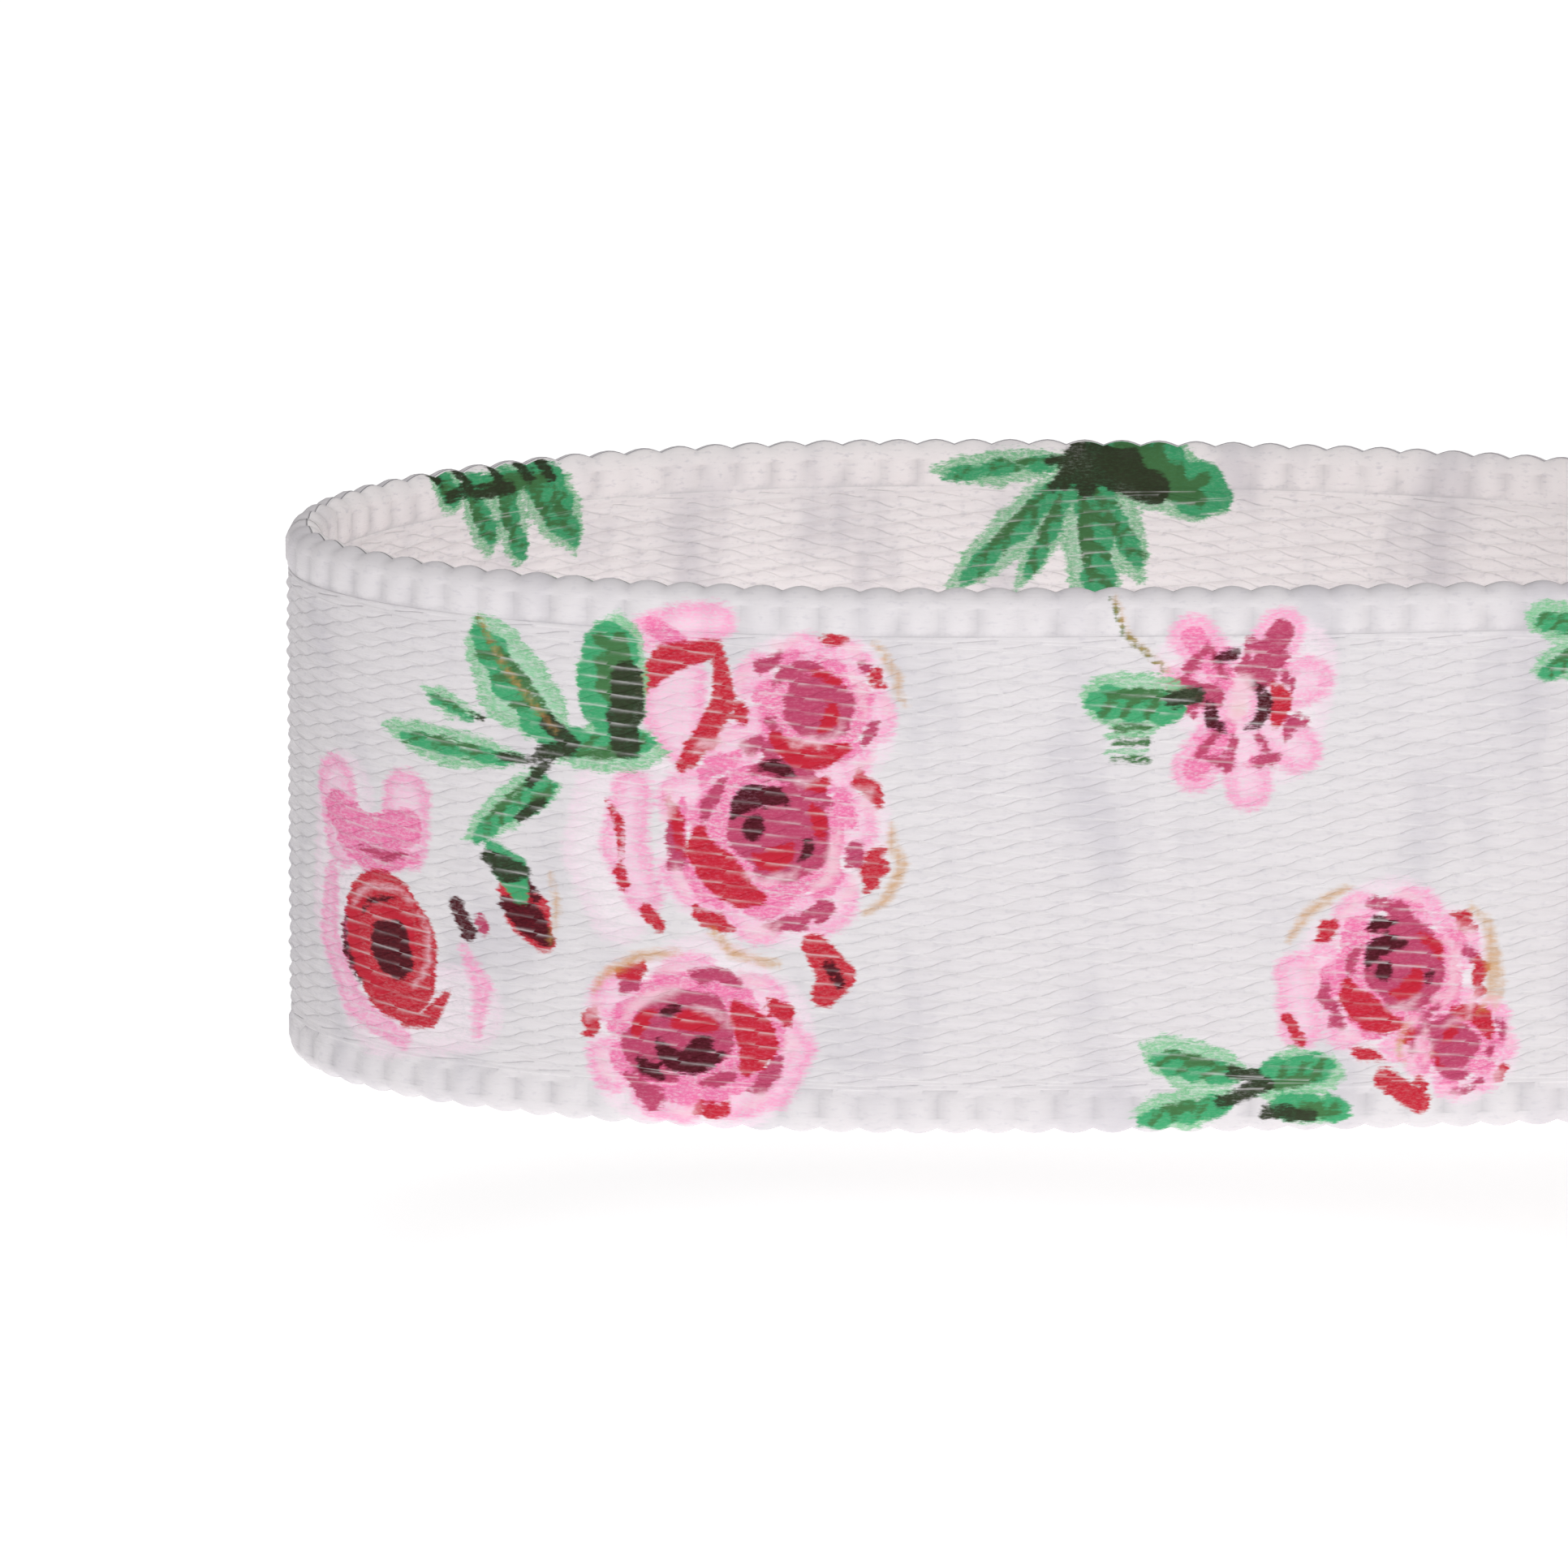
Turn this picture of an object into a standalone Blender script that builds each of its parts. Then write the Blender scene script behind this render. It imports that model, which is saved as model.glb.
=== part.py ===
"""Wrist pin cushion: a stuffed dome in a moulded tray, carried by a woven ribbon band.

The wrist passes through the band along Z, and the cushion faces +X. The plane x = 0 is the one
that bears on the wrist: the felt pads and the closed tail of the ribbon both end there. The X axis
is the axis of the cushion, the tray and the back plate, and z = 0 is the middle of the ribbon.

The ribbon's near end is folded round a steel pin in the back plate, where the band swings open.
Its far end lies flat under the back plate and closes with hook and loop tape.
"""

import math

import bmesh
import bpy
from mathutils import Matrix, Vector

MM = 0.001
GAP = 0.3 * MM  # between solids that touch on the real object
ROUND = 48  # sides of a large round piece
SMALL_ROUND = 20  # sides of a pin, screw or boss

# Ribbon: 22 mm wide, woven, with the plan of its loop as seen along the wrist.
RIBBON_WIDTH = 22 * MM
RIBBON_THICKNESS = 1.4 * MM
RIBBON_CHAMFER = 0.35 * MM
HALF_THICKNESS = RIBBON_THICKNESS / 2
LOOP_CENTRE_X = -33 * MM  # where both runs of the loop are furthest apart
LOOP_REACH = 26 * MM  # from there to the middle of the ribbon at the loop's end
NEAR_APEX = 14.3 * MM  # how far each run stands off the X axis at the loop's centre
FAR_APEX = 17.6 * MM
NEAR_RUN = 34.2 * MM  # length along X of each run, and how much it closes in over that
NEAR_DROP = 3.1 * MM
NEAR_POWER = 2.0
FAR_RUN = 31.4 * MM
FAR_DROP = 6.25 * MM
FAR_POWER = 2.4

# Fold of the near end round its pin.
PIN_RADIUS = 0.8 * MM
PIN_PLAY = 0.15 * MM
FOLD_RADIUS = PIN_RADIUS + PIN_PLAY + HALF_THICKNESS
FOLD_BACK = 7 * MM  # length of the turned-in end along X
FOLD_EASE = 4.4 * MM  # over which the turned-in end closes onto the run
STITCH_START_X = -4.6 * MM  # bar of stitches through both plies of the fold
STITCH_END_X = -3.4 * MM
STITCH_HEIGHT = 19 * MM
STITCH_THICKNESS = 0.35 * MM
STITCH_CLEAR = 0.1 * MM

# Tail of the far end, closed against the back plate.
TAIL_MID_X = HALF_THICKNESS
TAIL_TIP_Y = -5.9 * MM
TAIL_CLEAR = HALF_THICKNESS + GAP  # from the tail's hinge axis to the end of the band
HOOK_THICKNESS = 1.0 * MM
LOOP_THICKNESS = 1.2 * MM
TAPE_MARGIN = 0.9 * MM  # from the edges of the tail to the hook tape
TAPE_BEVEL = 0.25 * MM

# Back plate, from its face on the wrist side.
PLATE_FACE_X = 3.6 * MM
PLATE_THICKNESS = 2.4 * MM
PLATE_RADIUS = 23.2 * MM
PLATE_EDGE = 0.6 * MM
HOOK_X = RIBBON_THICKNESS + GAP
LOOP_X = HOOK_X + HOOK_THICKNESS + GAP
RECESS_FLOOR_X = LOOP_X + LOOP_THICKNESS + GAP
LUG_INNER_Z = RIBBON_WIDTH / 2 + 0.5 * MM
LUG_THICKNESS = 3 * MM
LUG_RADIUS = 2.2 * MM
LUG_BORE = PIN_RADIUS + 0.1 * MM
PIN_HEAD_RADIUS = 1.4 * MM
PIN_HEAD_THICKNESS = 0.6 * MM

# Felt pads above and below the band: the part of a disc beyond a straight edge.
PAD_RADIUS = 21.6 * MM
PAD_EDGE_Z = 15.6 * MM

# Screws that hold the back plate to the tray.
SCREW_SPREAD_Y = 16.6 * MM
SCREW_SPREAD_Z = 8.6 * MM
SCREW_HEAD_RADIUS = 1.9 * MM
SCREW_HEAD_DEPTH = 1.1 * MM
SCREW_RADIUS = 0.9 * MM
SCREW_LENGTH = 6.2 * MM
SCREW_CLEAR = 0.3 * MM
CROSS_LENGTH = 2.0 * MM
CROSS_WIDTH = 0.45 * MM
CROSS_DEPTH = 0.6 * MM

# Tray, from the underside of its floor to its rim.
TRAY_X = PLATE_FACE_X + PLATE_THICKNESS + GAP
TRAY_FLOOR = 1.6 * MM
TRAY_WALL = 1.5 * MM
TRAY_RIM_X = 15.2 * MM
TRAY_FOOT_RADIUS = 23.0 * MM
TRAY_RIM_RADIUS = 24.0 * MM
TRAY_BEAD = 1.0 * MM
BOSS_RADIUS = 2.4 * MM
BOSS_TOP_X = 11.0 * MM
BOSS_HOLE = SCREW_RADIUS + 0.2 * MM
BOSS_HOLE_END_X = 10.2 * MM

# Cushion: the cover's outer surface, and what is inside it.
COVER_THICKNESS = 0.8 * MM
COVER_HEM_X = 11.3 * MM
COVER_HEM_RADIUS = 13.6 * MM
COVER_WAIST_RADIUS = 21.7 * MM  # where the cover leaves the tray
COVER_WAIST_X = 18.1 * MM
DOME_RADIUS = 25.3 * MM
DOME_WIDEST_X = 23.0 * MM
DOME_TOP_X = 39.0 * MM
DOME_SQUARENESS = 2.25  # 2 is an ellipse; more is fuller at the shoulder
GUARD_X = 12.5 * MM
GUARD_THICKNESS = 1.0 * MM
GUARD_RADIUS = 20.0 * MM
GATHER_CORD_RADIUS = 0.6 * MM
TRIM_RADIUS = 1.25 * MM
TRIM_RING_RADIUS = 23.7 * MM
TRIM_X = 16.85 * MM


def material(name, colour, roughness, metallic=0.0):
    made = bpy.data.materials.new(name)
    made.use_nodes = True
    shader = made.node_tree.nodes["Principled BSDF"]
    shader.inputs["Base Color"].default_value = (*colour, 1.0)
    shader.inputs["Roughness"].default_value = roughness
    shader.inputs["Metallic"].default_value = metallic
    return made


def link(name, mesh, finish, parent=None):
    made = bpy.data.objects.new(name, mesh)
    bpy.context.scene.collection.objects.link(made)
    if finish and not mesh.materials:
        mesh.materials.append(finish)
    if parent:
        made.parent = parent
        made.matrix_parent_inverse = parent.matrix_world.inverted()
    return made


def mesh_of(name, shape, smooth=True):
    """The bmesh as a mesh with its faces pointing out, smooth except at its corners."""
    bmesh.ops.remove_doubles(shape, verts=shape.verts, dist=0.001 * MM)
    bmesh.ops.recalc_face_normals(shape, faces=shape.faces)
    mesh = bpy.data.meshes.new(name)
    shape.to_mesh(mesh)
    shape.free()
    if smooth:
        mesh.shade_smooth()
        mesh.set_sharp_from_angle(angle=math.radians(35))
    return mesh


def turned_mesh(name, profile, sides=ROUND):
    """The closed (x, radius) profile turned about the X axis."""
    shape = bmesh.new()
    corners = [shape.verts.new((x, radius, 0)) for x, radius in profile]
    pairs = zip(corners, corners[1:] + corners[:1])
    off_axis = [pair for pair in pairs if max(pair[0].co.y, pair[1].co.y) > 0.001 * MM]
    edges = [shape.edges.new(pair) for pair in off_axis]
    bmesh.ops.spin(
        shape,
        geom=corners + edges,
        cent=(0, 0, 0),
        axis=(1, 0, 0),
        angle=2 * math.pi,
        steps=sides,
        use_merge=True,
    )
    return mesh_of(name, shape)


def prism_mesh(name, outline, along, start, end, smooth=True):
    """A closed outline extruded along X, where it holds (y, z) points, or along Z, where (x, y)."""
    shape = bmesh.new()
    if along == "X":
        corners = [shape.verts.new((start, a, b)) for a, b in outline]
        step = Vector((end - start, 0, 0))
    else:
        corners = [shape.verts.new((a, b, start)) for a, b in outline]
        step = Vector((0, 0, end - start))
    face = shape.faces.new(corners)
    side = bmesh.ops.extrude_face_region(shape, geom=[face])["geom"]
    moved = [item for item in side if isinstance(item, bmesh.types.BMVert)]
    bmesh.ops.translate(shape, verts=moved, vec=step)
    return mesh_of(name, shape, smooth)


def ring_mesh(name, x, ring_radius, cord_radius, sides, cord_sides):
    """A round cord closed into a ring about the X axis."""
    turns = [2 * math.pi * i / cord_sides for i in range(cord_sides)]
    profile = [
        (x + cord_radius * math.cos(a), ring_radius + cord_radius * math.sin(a)) for a in turns
    ]
    return turned_mesh(name, profile, sides)


def box_outline(low_a, high_a, low_b, high_b):
    return [(low_a, low_b), (high_a, low_b), (high_a, high_b), (low_a, high_b)]


def combine(target, other, operation):
    """Joins other to the target, or cuts it out, and keeps other as a hidden helper."""
    other.hide_render = True
    other.display_type = "WIRE"
    step = target.modifiers.new(f"{operation.title()} {other.name}", "BOOLEAN")
    step.object = other
    step.operation = operation
    step.solver = "EXACT"


def bevel_edges(target, width, segments=2):
    step = target.modifiers.new("Rounded edges", "BEVEL")
    step.width = width
    step.segments = segments
    step.limit_method = "ANGLE"


# ---------------------------------------------------------------------------- ribbon


def near_run(x):
    """Middle of the near run: a point and its heading towards +X."""
    share = (x - LOOP_CENTRE_X) / NEAR_RUN
    y = -NEAR_APEX + NEAR_DROP * share**NEAR_POWER
    slope = NEAR_POWER * NEAR_DROP / NEAR_RUN * share ** (NEAR_POWER - 1)
    return Vector((x, y)), Vector((1, slope)).normalized()


def far_run(x):
    """Middle of the far run: a point and its heading towards +X."""
    share = (x - LOOP_CENTRE_X) / FAR_RUN
    y = FAR_APEX - FAR_DROP * share**FAR_POWER
    slope = -FAR_POWER * FAR_DROP / FAR_RUN * share ** (FAR_POWER - 1)
    return Vector((x, y)), Vector((1, slope)).normalized()


def turn_left(direction):
    return Vector((-direction.y, direction.x))


def spread(start, end, count):
    return [start + (end - start) * i / (count - 1) for i in range(count)]


def pin_centre():
    end, heading = near_run(LOOP_CENTRE_X + NEAR_RUN)
    return end + turn_left(heading) * FOLD_RADIUS


def fold_back():
    """The turned-in end, from its cut edge to the pin."""
    closed = RIBBON_THICKNESS + GAP
    end_x = LOOP_CENTRE_X + NEAR_RUN
    points = []
    for x in spread(end_x - FOLD_BACK, end_x, 9)[:-1]:
        point, heading = near_run(x)
        eased = max(0.0, 1 - (end_x - x) / FOLD_EASE)
        opened = eased * eased * (3 - 2 * eased)
        off_run = closed + (2 * FOLD_RADIUS - closed) * opened
        points.append(point + turn_left(heading) * off_run)
    return points


def round_pin():
    """The half turn about the pin, from the turned-in end to the near run."""
    _, heading = near_run(LOOP_CENTRE_X + NEAR_RUN)
    start = turn_left(heading) * FOLD_RADIUS
    turns = spread(0, -math.pi, 11)
    return [pin_centre() + Matrix.Rotation(a, 2) @ start for a in turns]


def loop_end():
    """The half loop that joins the runs, from the near apex round to the far one."""
    points = []
    for a in spread(-math.pi / 2, math.pi / 2, 33):
        apex = NEAR_APEX if a < 0 else FAR_APEX
        points.append(Vector((LOOP_CENTRE_X - LOOP_REACH * math.cos(a), apex * math.sin(a))))
    return points


def far_bend():
    """The arc that lays the far run flat against the back plate, ending at the tail."""
    start, heading = far_run(LOOP_CENTRE_X + FAR_RUN)
    radius = (TAIL_MID_X - start.x) / (1 + heading.y)
    centre = start - turn_left(heading) * radius
    first = start - centre
    last_turn = -(math.pi / 2 + math.asin(heading.y))
    return [centre + Matrix.Rotation(a, 2) @ first for a in spread(0, last_turn, 9)]


def tail_hinge():
    """Axis on which the tail peels: where the bend ends."""
    return far_bend()[-1] - Vector((0, TAIL_CLEAR))


def band_route():
    end_near = LOOP_CENTRE_X + NEAR_RUN
    end_far = LOOP_CENTRE_X + FAR_RUN
    near = [near_run(x)[0] for x in spread(end_near, LOOP_CENTRE_X, 15)]
    far = [far_run(x)[0] for x in spread(LOOP_CENTRE_X, end_far, 15)]
    return fold_back() + round_pin() + near[1:] + loop_end()[1:-1] + far + far_bend()[1:]


def strip_mesh(name, route):
    """The ribbon's section, with its long edges chamfered, swept along a route in plan."""
    half_width = RIBBON_WIDTH / 2
    flat = HALF_THICKNESS - RIBBON_CHAMFER
    tall = half_width - RIBBON_CHAMFER
    section = [
        (HALF_THICKNESS, tall),
        (flat, half_width),
        (-flat, half_width),
        (-HALF_THICKNESS, tall),
        (-HALF_THICKNESS, -tall),
        (-flat, -half_width),
        (flat, -half_width),
        (HALF_THICKNESS, -tall),
    ]
    shape = bmesh.new()
    rings = []
    for i, point in enumerate(route):
        heading = (route[min(i + 1, len(route) - 1)] - route[max(i - 1, 0)]).normalized()
        across = turn_left(heading)
        ring = [shape.verts.new((*(point + across * off), z)) for off, z in section]
        rings.append(ring)
    for ring, following in zip(rings, rings[1:]):
        for i, corner in enumerate(ring):
            j = (i + 1) % len(ring)
            shape.faces.new((corner, ring[j], following[j], following[i]))
    shape.faces.new(rings[0])
    shape.faces.new(rings[-1])
    return mesh_of(name, shape)


def make_band(finish):
    """The ribbon from its fold round the pin to the bend before the tail, on its pin's axis."""
    hinge = bpy.data.objects.new("band_axis", None)
    hinge.location = (*pin_centre(), 0)
    bpy.context.scene.collection.objects.link(hinge)
    bpy.context.view_layer.update()
    link("ribbon", strip_mesh("ribbon", band_route()), finish, hinge)
    return hinge


def make_fold_stitches(finish, band_axis):
    """The bar of thread, on the outer face of the near run, that closes the fold."""
    run = [near_run(x) for x in spread(STITCH_START_X, STITCH_END_X, 3)]
    near_side = HALF_THICKNESS + STITCH_CLEAR
    far_side = near_side + STITCH_THICKNESS
    outline = [point - turn_left(heading) * near_side for point, heading in run]
    outline += [point - turn_left(heading) * far_side for point, heading in reversed(run)]
    half_height = STITCH_HEIGHT / 2
    bar = prism_mesh("fold_stitches", outline, "Z", -half_height, half_height)
    link("fold_stitches", bar, finish, band_axis)


def make_tail(finish, hook_finish, band_axis):
    """The ribbon's far end, round where it hinges, and the hook tape sewn on it."""
    axis = tail_hinge()
    hinge = bpy.data.objects.new("tail_axis", None)
    hinge.parent = band_axis
    hinge.matrix_parent_inverse = band_axis.matrix_world.inverted()
    hinge.location = (*axis, 0)
    bpy.context.scene.collection.objects.link(hinge)
    bpy.context.view_layer.update()
    turns = spread(math.pi, 0, 9)
    knuckle = [
        (axis.x + HALF_THICKNESS * math.cos(a), axis.y + HALF_THICKNESS * math.sin(a)) for a in turns
    ]
    outline = knuckle + [(RIBBON_THICKNESS, TAIL_TIP_Y), (0, TAIL_TIP_Y)]
    half_width = RIBBON_WIDTH / 2
    tail_mesh = prism_mesh("ribbon_tail", outline, "Z", -half_width, half_width)
    link("ribbon_tail", tail_mesh, finish, hinge)

    outline = box_outline(
        TAIL_TIP_Y + TAPE_MARGIN, axis.y, TAPE_MARGIN - half_width, half_width - TAPE_MARGIN
    )
    hook_mesh = prism_mesh("hook_tape", outline, "X", HOOK_X, HOOK_X + HOOK_THICKNESS, False)
    hook = link("hook_tape", hook_mesh, hook_finish, hinge)
    bevel_edges(hook, TAPE_BEVEL)


# ---------------------------------------------------------------------------- back plate


def loop_tape_outline(margin=0.0):
    """The loop tape's rectangle, or one that is larger by a margin all round."""
    half_width = RIBBON_WIDTH / 2 - TAPE_MARGIN + margin
    return box_outline(
        TAIL_TIP_Y + TAPE_MARGIN - margin, tail_hinge().y + margin, -half_width, half_width
    )


def make_loop_tape(finish):
    """The soft tape, bonded in a shallow recess of the back plate."""
    mesh = prism_mesh("loop_tape", loop_tape_outline(), "X", LOOP_X, LOOP_X + LOOP_THICKNESS, False)
    bevel_edges(link("loop_tape", mesh, finish), TAPE_BEVEL)


def lug_outline():
    """A lug seen along Z: round about the pin, and straight into the plate."""
    centre = pin_centre()
    root_x = PLATE_FACE_X + PLATE_THICKNESS / 2
    turns = spread(-math.pi / 2, -3 * math.pi / 2, 13)
    nose = [
        (centre.x + LUG_RADIUS * math.cos(a), centre.y + LUG_RADIUS * math.sin(a)) for a in turns
    ]
    return nose + [(root_x, centre.y + LUG_RADIUS), (root_x, centre.y - LUG_RADIUS)]


def screw_places():
    return [(y, z) for y in (-SCREW_SPREAD_Y, SCREW_SPREAD_Y) for z in (-SCREW_SPREAD_Z, SCREW_SPREAD_Z)]


def make_back_plate(finish):
    """The moulded plate that closes the tray, with the recess, the two lugs and the screw holes."""
    back_x = PLATE_FACE_X + PLATE_THICKNESS
    profile = [
        (PLATE_FACE_X, 0),
        (PLATE_FACE_X, PLATE_RADIUS - PLATE_EDGE),
        (PLATE_FACE_X + PLATE_EDGE, PLATE_RADIUS),
        (back_x, PLATE_RADIUS),
        (back_x, 0),
    ]
    plate = link("back_plate", turned_mesh("back_plate", profile), finish)
    for side in (-1, 1):
        low, high = sorted((side * LUG_INNER_Z, side * (LUG_INNER_Z + LUG_THICKNESS)))
        lug = link(f"lug_shape_{side}", prism_mesh("lug_shape", lug_outline(), "Z", low, high), None)
        combine(plate, lug, "UNION")

    recess_mesh = prism_mesh(
        "recess_cut", loop_tape_outline(GAP), "X", PLATE_FACE_X - 1 * MM, RECESS_FLOOR_X, False
    )
    combine(plate, link("recess_cut", recess_mesh, None), "DIFFERENCE")

    bore_length = 2 * (LUG_INNER_Z + LUG_THICKNESS + 1 * MM)
    bore_profile = [
        (-bore_length / 2, 0),
        (-bore_length / 2, LUG_BORE),
        (bore_length / 2, LUG_BORE),
        (bore_length / 2, 0),
    ]
    bore = link("bore_cut", turned_mesh("bore_cut", bore_profile, SMALL_ROUND), None)
    bore.rotation_euler = (0, math.pi / 2, 0)
    bore.location = (*pin_centre(), 0)
    combine(plate, bore, "DIFFERENCE")

    head = SCREW_HEAD_RADIUS + SCREW_CLEAR
    hole = SCREW_RADIUS + SCREW_CLEAR
    hole_profile = [
        (PLATE_FACE_X - 1 * MM, 0),
        (PLATE_FACE_X - 1 * MM, head),
        (PLATE_FACE_X, head),
        (PLATE_FACE_X + head - hole, hole),
        (back_x + 1 * MM, hole),
        (back_x + 1 * MM, 0),
    ]
    hole_mesh = turned_mesh("screw_hole_cut", hole_profile, SMALL_ROUND)
    for number, (y, z) in enumerate(screw_places(), start=1):
        cut = link(f"screw_hole_cut_{number}", hole_mesh, None)
        cut.location = (0, y, z)
        combine(plate, cut, "DIFFERENCE")


def make_band_pin(finish):
    """The steel pin through the lugs, headed at both ends like a rivet."""
    shank_end = LUG_INNER_Z + LUG_THICKNESS + GAP
    head_end = shank_end + PIN_HEAD_THICKNESS
    half = [
        (shank_end, PIN_RADIUS),
        (shank_end, PIN_HEAD_RADIUS),
        (head_end - 0.2 * MM, PIN_HEAD_RADIUS),
        (head_end, PIN_HEAD_RADIUS - 0.4 * MM),
        (head_end, 0),
    ]
    profile = [(-z, radius) for z, radius in reversed(half)] + half
    pin = link("band_pin", turned_mesh("band_pin", profile, SMALL_ROUND), finish)
    pin.rotation_euler = (0, math.pi / 2, 0)
    pin.location = (*pin_centre(), 0)


def make_screws(finish):
    """Four countersunk screws with a cross recess, all from one mesh."""
    tip = PLATE_FACE_X + SCREW_LENGTH
    neck = SCREW_HEAD_RADIUS - SCREW_RADIUS
    profile = [
        (PLATE_FACE_X, 0),
        (PLATE_FACE_X, SCREW_HEAD_RADIUS),
        (PLATE_FACE_X + min(neck, SCREW_HEAD_DEPTH), SCREW_RADIUS),
        (tip - SCREW_RADIUS, SCREW_RADIUS),
        (tip, 0),
    ]
    pattern = link("screw_pattern", turned_mesh("screw", profile, SMALL_ROUND), finish)
    arms = ((CROSS_LENGTH, CROSS_WIDTH), (CROSS_WIDTH, CROSS_LENGTH))
    for number, (across, up) in enumerate(arms, start=1):
        outline = box_outline(-across / 2, across / 2, -up / 2, up / 2)
        low, high = PLATE_FACE_X - 0.5 * MM, PLATE_FACE_X + CROSS_DEPTH
        arm_mesh = prism_mesh("cross_cut", outline, "X", low, high, False)
        combine(pattern, link(f"cross_cut_{number}", arm_mesh, None), "DIFFERENCE")
    graph = bpy.context.evaluated_depsgraph_get()
    mesh = bpy.data.meshes.new_from_object(pattern.evaluated_get(graph))
    bpy.data.objects.remove(pattern)
    for number, (y, z) in enumerate(screw_places(), start=1):
        link(f"plate_screw_{number}", mesh, finish).location = (0, y, z)


def make_felt_pads(finish):
    """Two pads on the back plate, above and below the band, that bear on the wrist."""
    edge_turn = math.asin(PAD_EDGE_Z / PAD_RADIUS)
    arc = [
        (PAD_RADIUS * math.cos(a), PAD_RADIUS * math.sin(a))
        for a in spread(edge_turn, math.pi - edge_turn, 17)
    ]
    for name, side in (("felt_pad_upper", 1), ("felt_pad_lower", -1)):
        outline = [(y, side * z) for y, z in arc]
        pad = link(name, prism_mesh(name, outline, "X", 0, PLATE_FACE_X - GAP), finish)
        bevel_edges(pad, TAPE_BEVEL)


# ---------------------------------------------------------------------------- tray


def make_tray(finish):
    """The open tray that holds the cushion, with a beaded rim and four screw bosses."""
    floor_x = TRAY_X + TRAY_FLOOR
    bead = [
        (
            TRAY_RIM_X - TRAY_BEAD + TRAY_BEAD * math.sin(a),
            TRAY_RIM_RADIUS + TRAY_BEAD * math.cos(a),
        )
        for a in spread(-math.pi / 2, math.pi / 2, 7)
    ]
    profile = [
        (TRAY_X, 0),
        (TRAY_X, TRAY_FOOT_RADIUS - PLATE_EDGE),
        (TRAY_X + PLATE_EDGE, TRAY_FOOT_RADIUS),
        *bead,
        (TRAY_RIM_X, TRAY_RIM_RADIUS - TRAY_WALL),
        (floor_x, TRAY_FOOT_RADIUS - TRAY_WALL),
        (floor_x, 0),
    ]
    tray = link("tray", turned_mesh("tray", profile), finish)
    shapes = (
        ("boss_shape", BOSS_RADIUS, TRAY_X + TRAY_FLOOR / 2, BOSS_TOP_X, "UNION"),
        ("boss_hole_cut", BOSS_HOLE, TRAY_X - 1 * MM, BOSS_HOLE_END_X, "DIFFERENCE"),
    )
    for name, radius, start, end, operation in shapes:
        profile = [(start, 0), (start, radius), (end, radius), (end, 0)]
        mesh = turned_mesh(name, profile, SMALL_ROUND)
        for number, (y, z) in enumerate(screw_places(), start=1):
            helper = link(f"{name}_{number}", mesh, None)
            helper.location = (0, y, z)
            combine(tray, helper, operation)


# ---------------------------------------------------------------------------- cushion


def dome_profile(count):
    """The cover's outer surface as (x, radius), from its widest ring to its top."""
    power = 2 / DOME_SQUARENESS
    reach = DOME_TOP_X - DOME_WIDEST_X
    points = []
    for a in spread(0, math.pi / 2, count)[:-1]:
        points.append((DOME_WIDEST_X + reach * math.sin(a) ** power, DOME_RADIUS * math.cos(a) ** power))
    return points + [(DOME_TOP_X, 0.0)]


def shoulder_profile(count):
    """The undercut of the outer surface over the trim, up to the widest ring."""
    rise = DOME_WIDEST_X - COVER_WAIST_X
    swell = DOME_RADIUS - COVER_WAIST_RADIUS
    return [
        (COVER_WAIST_X + rise * (1 - math.cos(a)), COVER_WAIST_RADIUS + swell * math.sin(a))
        for a in spread(0, math.pi / 2, count)[:-1]
    ]


def inset(profile, depth):
    """The profile moved into the cushion by a depth, with its last point kept on the axis."""
    points = [Vector(point) for point in profile]
    ways = [(b - a).normalized() for a, b in zip(points, points[1:])]
    inward = [Vector((way.y, -way.x)) for way in ways]
    moved = [points[0] + inward[0] * depth]
    for point, before, after in zip(points[1:-1], inward, inward[1:]):
        moved.append(point + (before + after) * depth / (1 + before.dot(after)))
    moved.append(Vector((points[-1].x - depth, 0)))
    return [tuple(point) for point in moved]


def make_cover(finish):
    """The fabric cover: drawn over the filling, tucked into the tray and gathered beneath."""
    corner = 1.4 * MM
    outer = [
        (COVER_HEM_X, COVER_HEM_RADIUS),
        (COVER_HEM_X, COVER_WAIST_RADIUS - corner),
        (COVER_HEM_X + 0.4 * MM, COVER_WAIST_RADIUS - 0.4 * MM),
        (COVER_HEM_X + corner, COVER_WAIST_RADIUS),
        *shoulder_profile(5),
        *dome_profile(11),
    ]
    profile = outer + list(reversed(inset(outer, COVER_THICKNESS)))
    link("cushion_cover", turned_mesh("cushion_cover", profile), finish)


def make_filling(finish):
    """The stuffing, from the needle guard to the inside of the cover."""
    base_x = GUARD_X + GUARD_THICKNESS + GAP
    side = inset(
        [(base_x + 0.6 * MM, COVER_WAIST_RADIUS), *shoulder_profile(5), *dome_profile(11)],
        COVER_THICKNESS + GAP,
    )
    profile = [(base_x, 0), (base_x, side[0][1] - 0.6 * MM), *side]
    link("filling", turned_mesh("filling", profile), finish)


def make_needle_guard(finish):
    """The hard disc under the filling that stops the points of the pins."""
    end = GUARD_X + GUARD_THICKNESS
    profile = [(GUARD_X, 0), (GUARD_X, GUARD_RADIUS), (end, GUARD_RADIUS), (end, 0)]
    link("needle_guard", turned_mesh("needle_guard", profile), finish)


def make_cords(gather_finish, trim_finish):
    """The drawstring that gathers the cover's hem, and the twisted trim round the tray's rim."""
    ring_radius = COVER_HEM_RADIUS - GATHER_CORD_RADIUS - GAP
    ring_x = COVER_HEM_X + COVER_THICKNESS / 2
    ring = ring_mesh("gather_cord", ring_x, ring_radius, GATHER_CORD_RADIUS, 36, 8)
    link("gather_cord", ring, gather_finish)
    trim = ring_mesh("trim_cord", TRIM_X, TRIM_RING_RADIUS, TRIM_RADIUS, ROUND, 10)
    link("trim_cord", trim, trim_finish)


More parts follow.
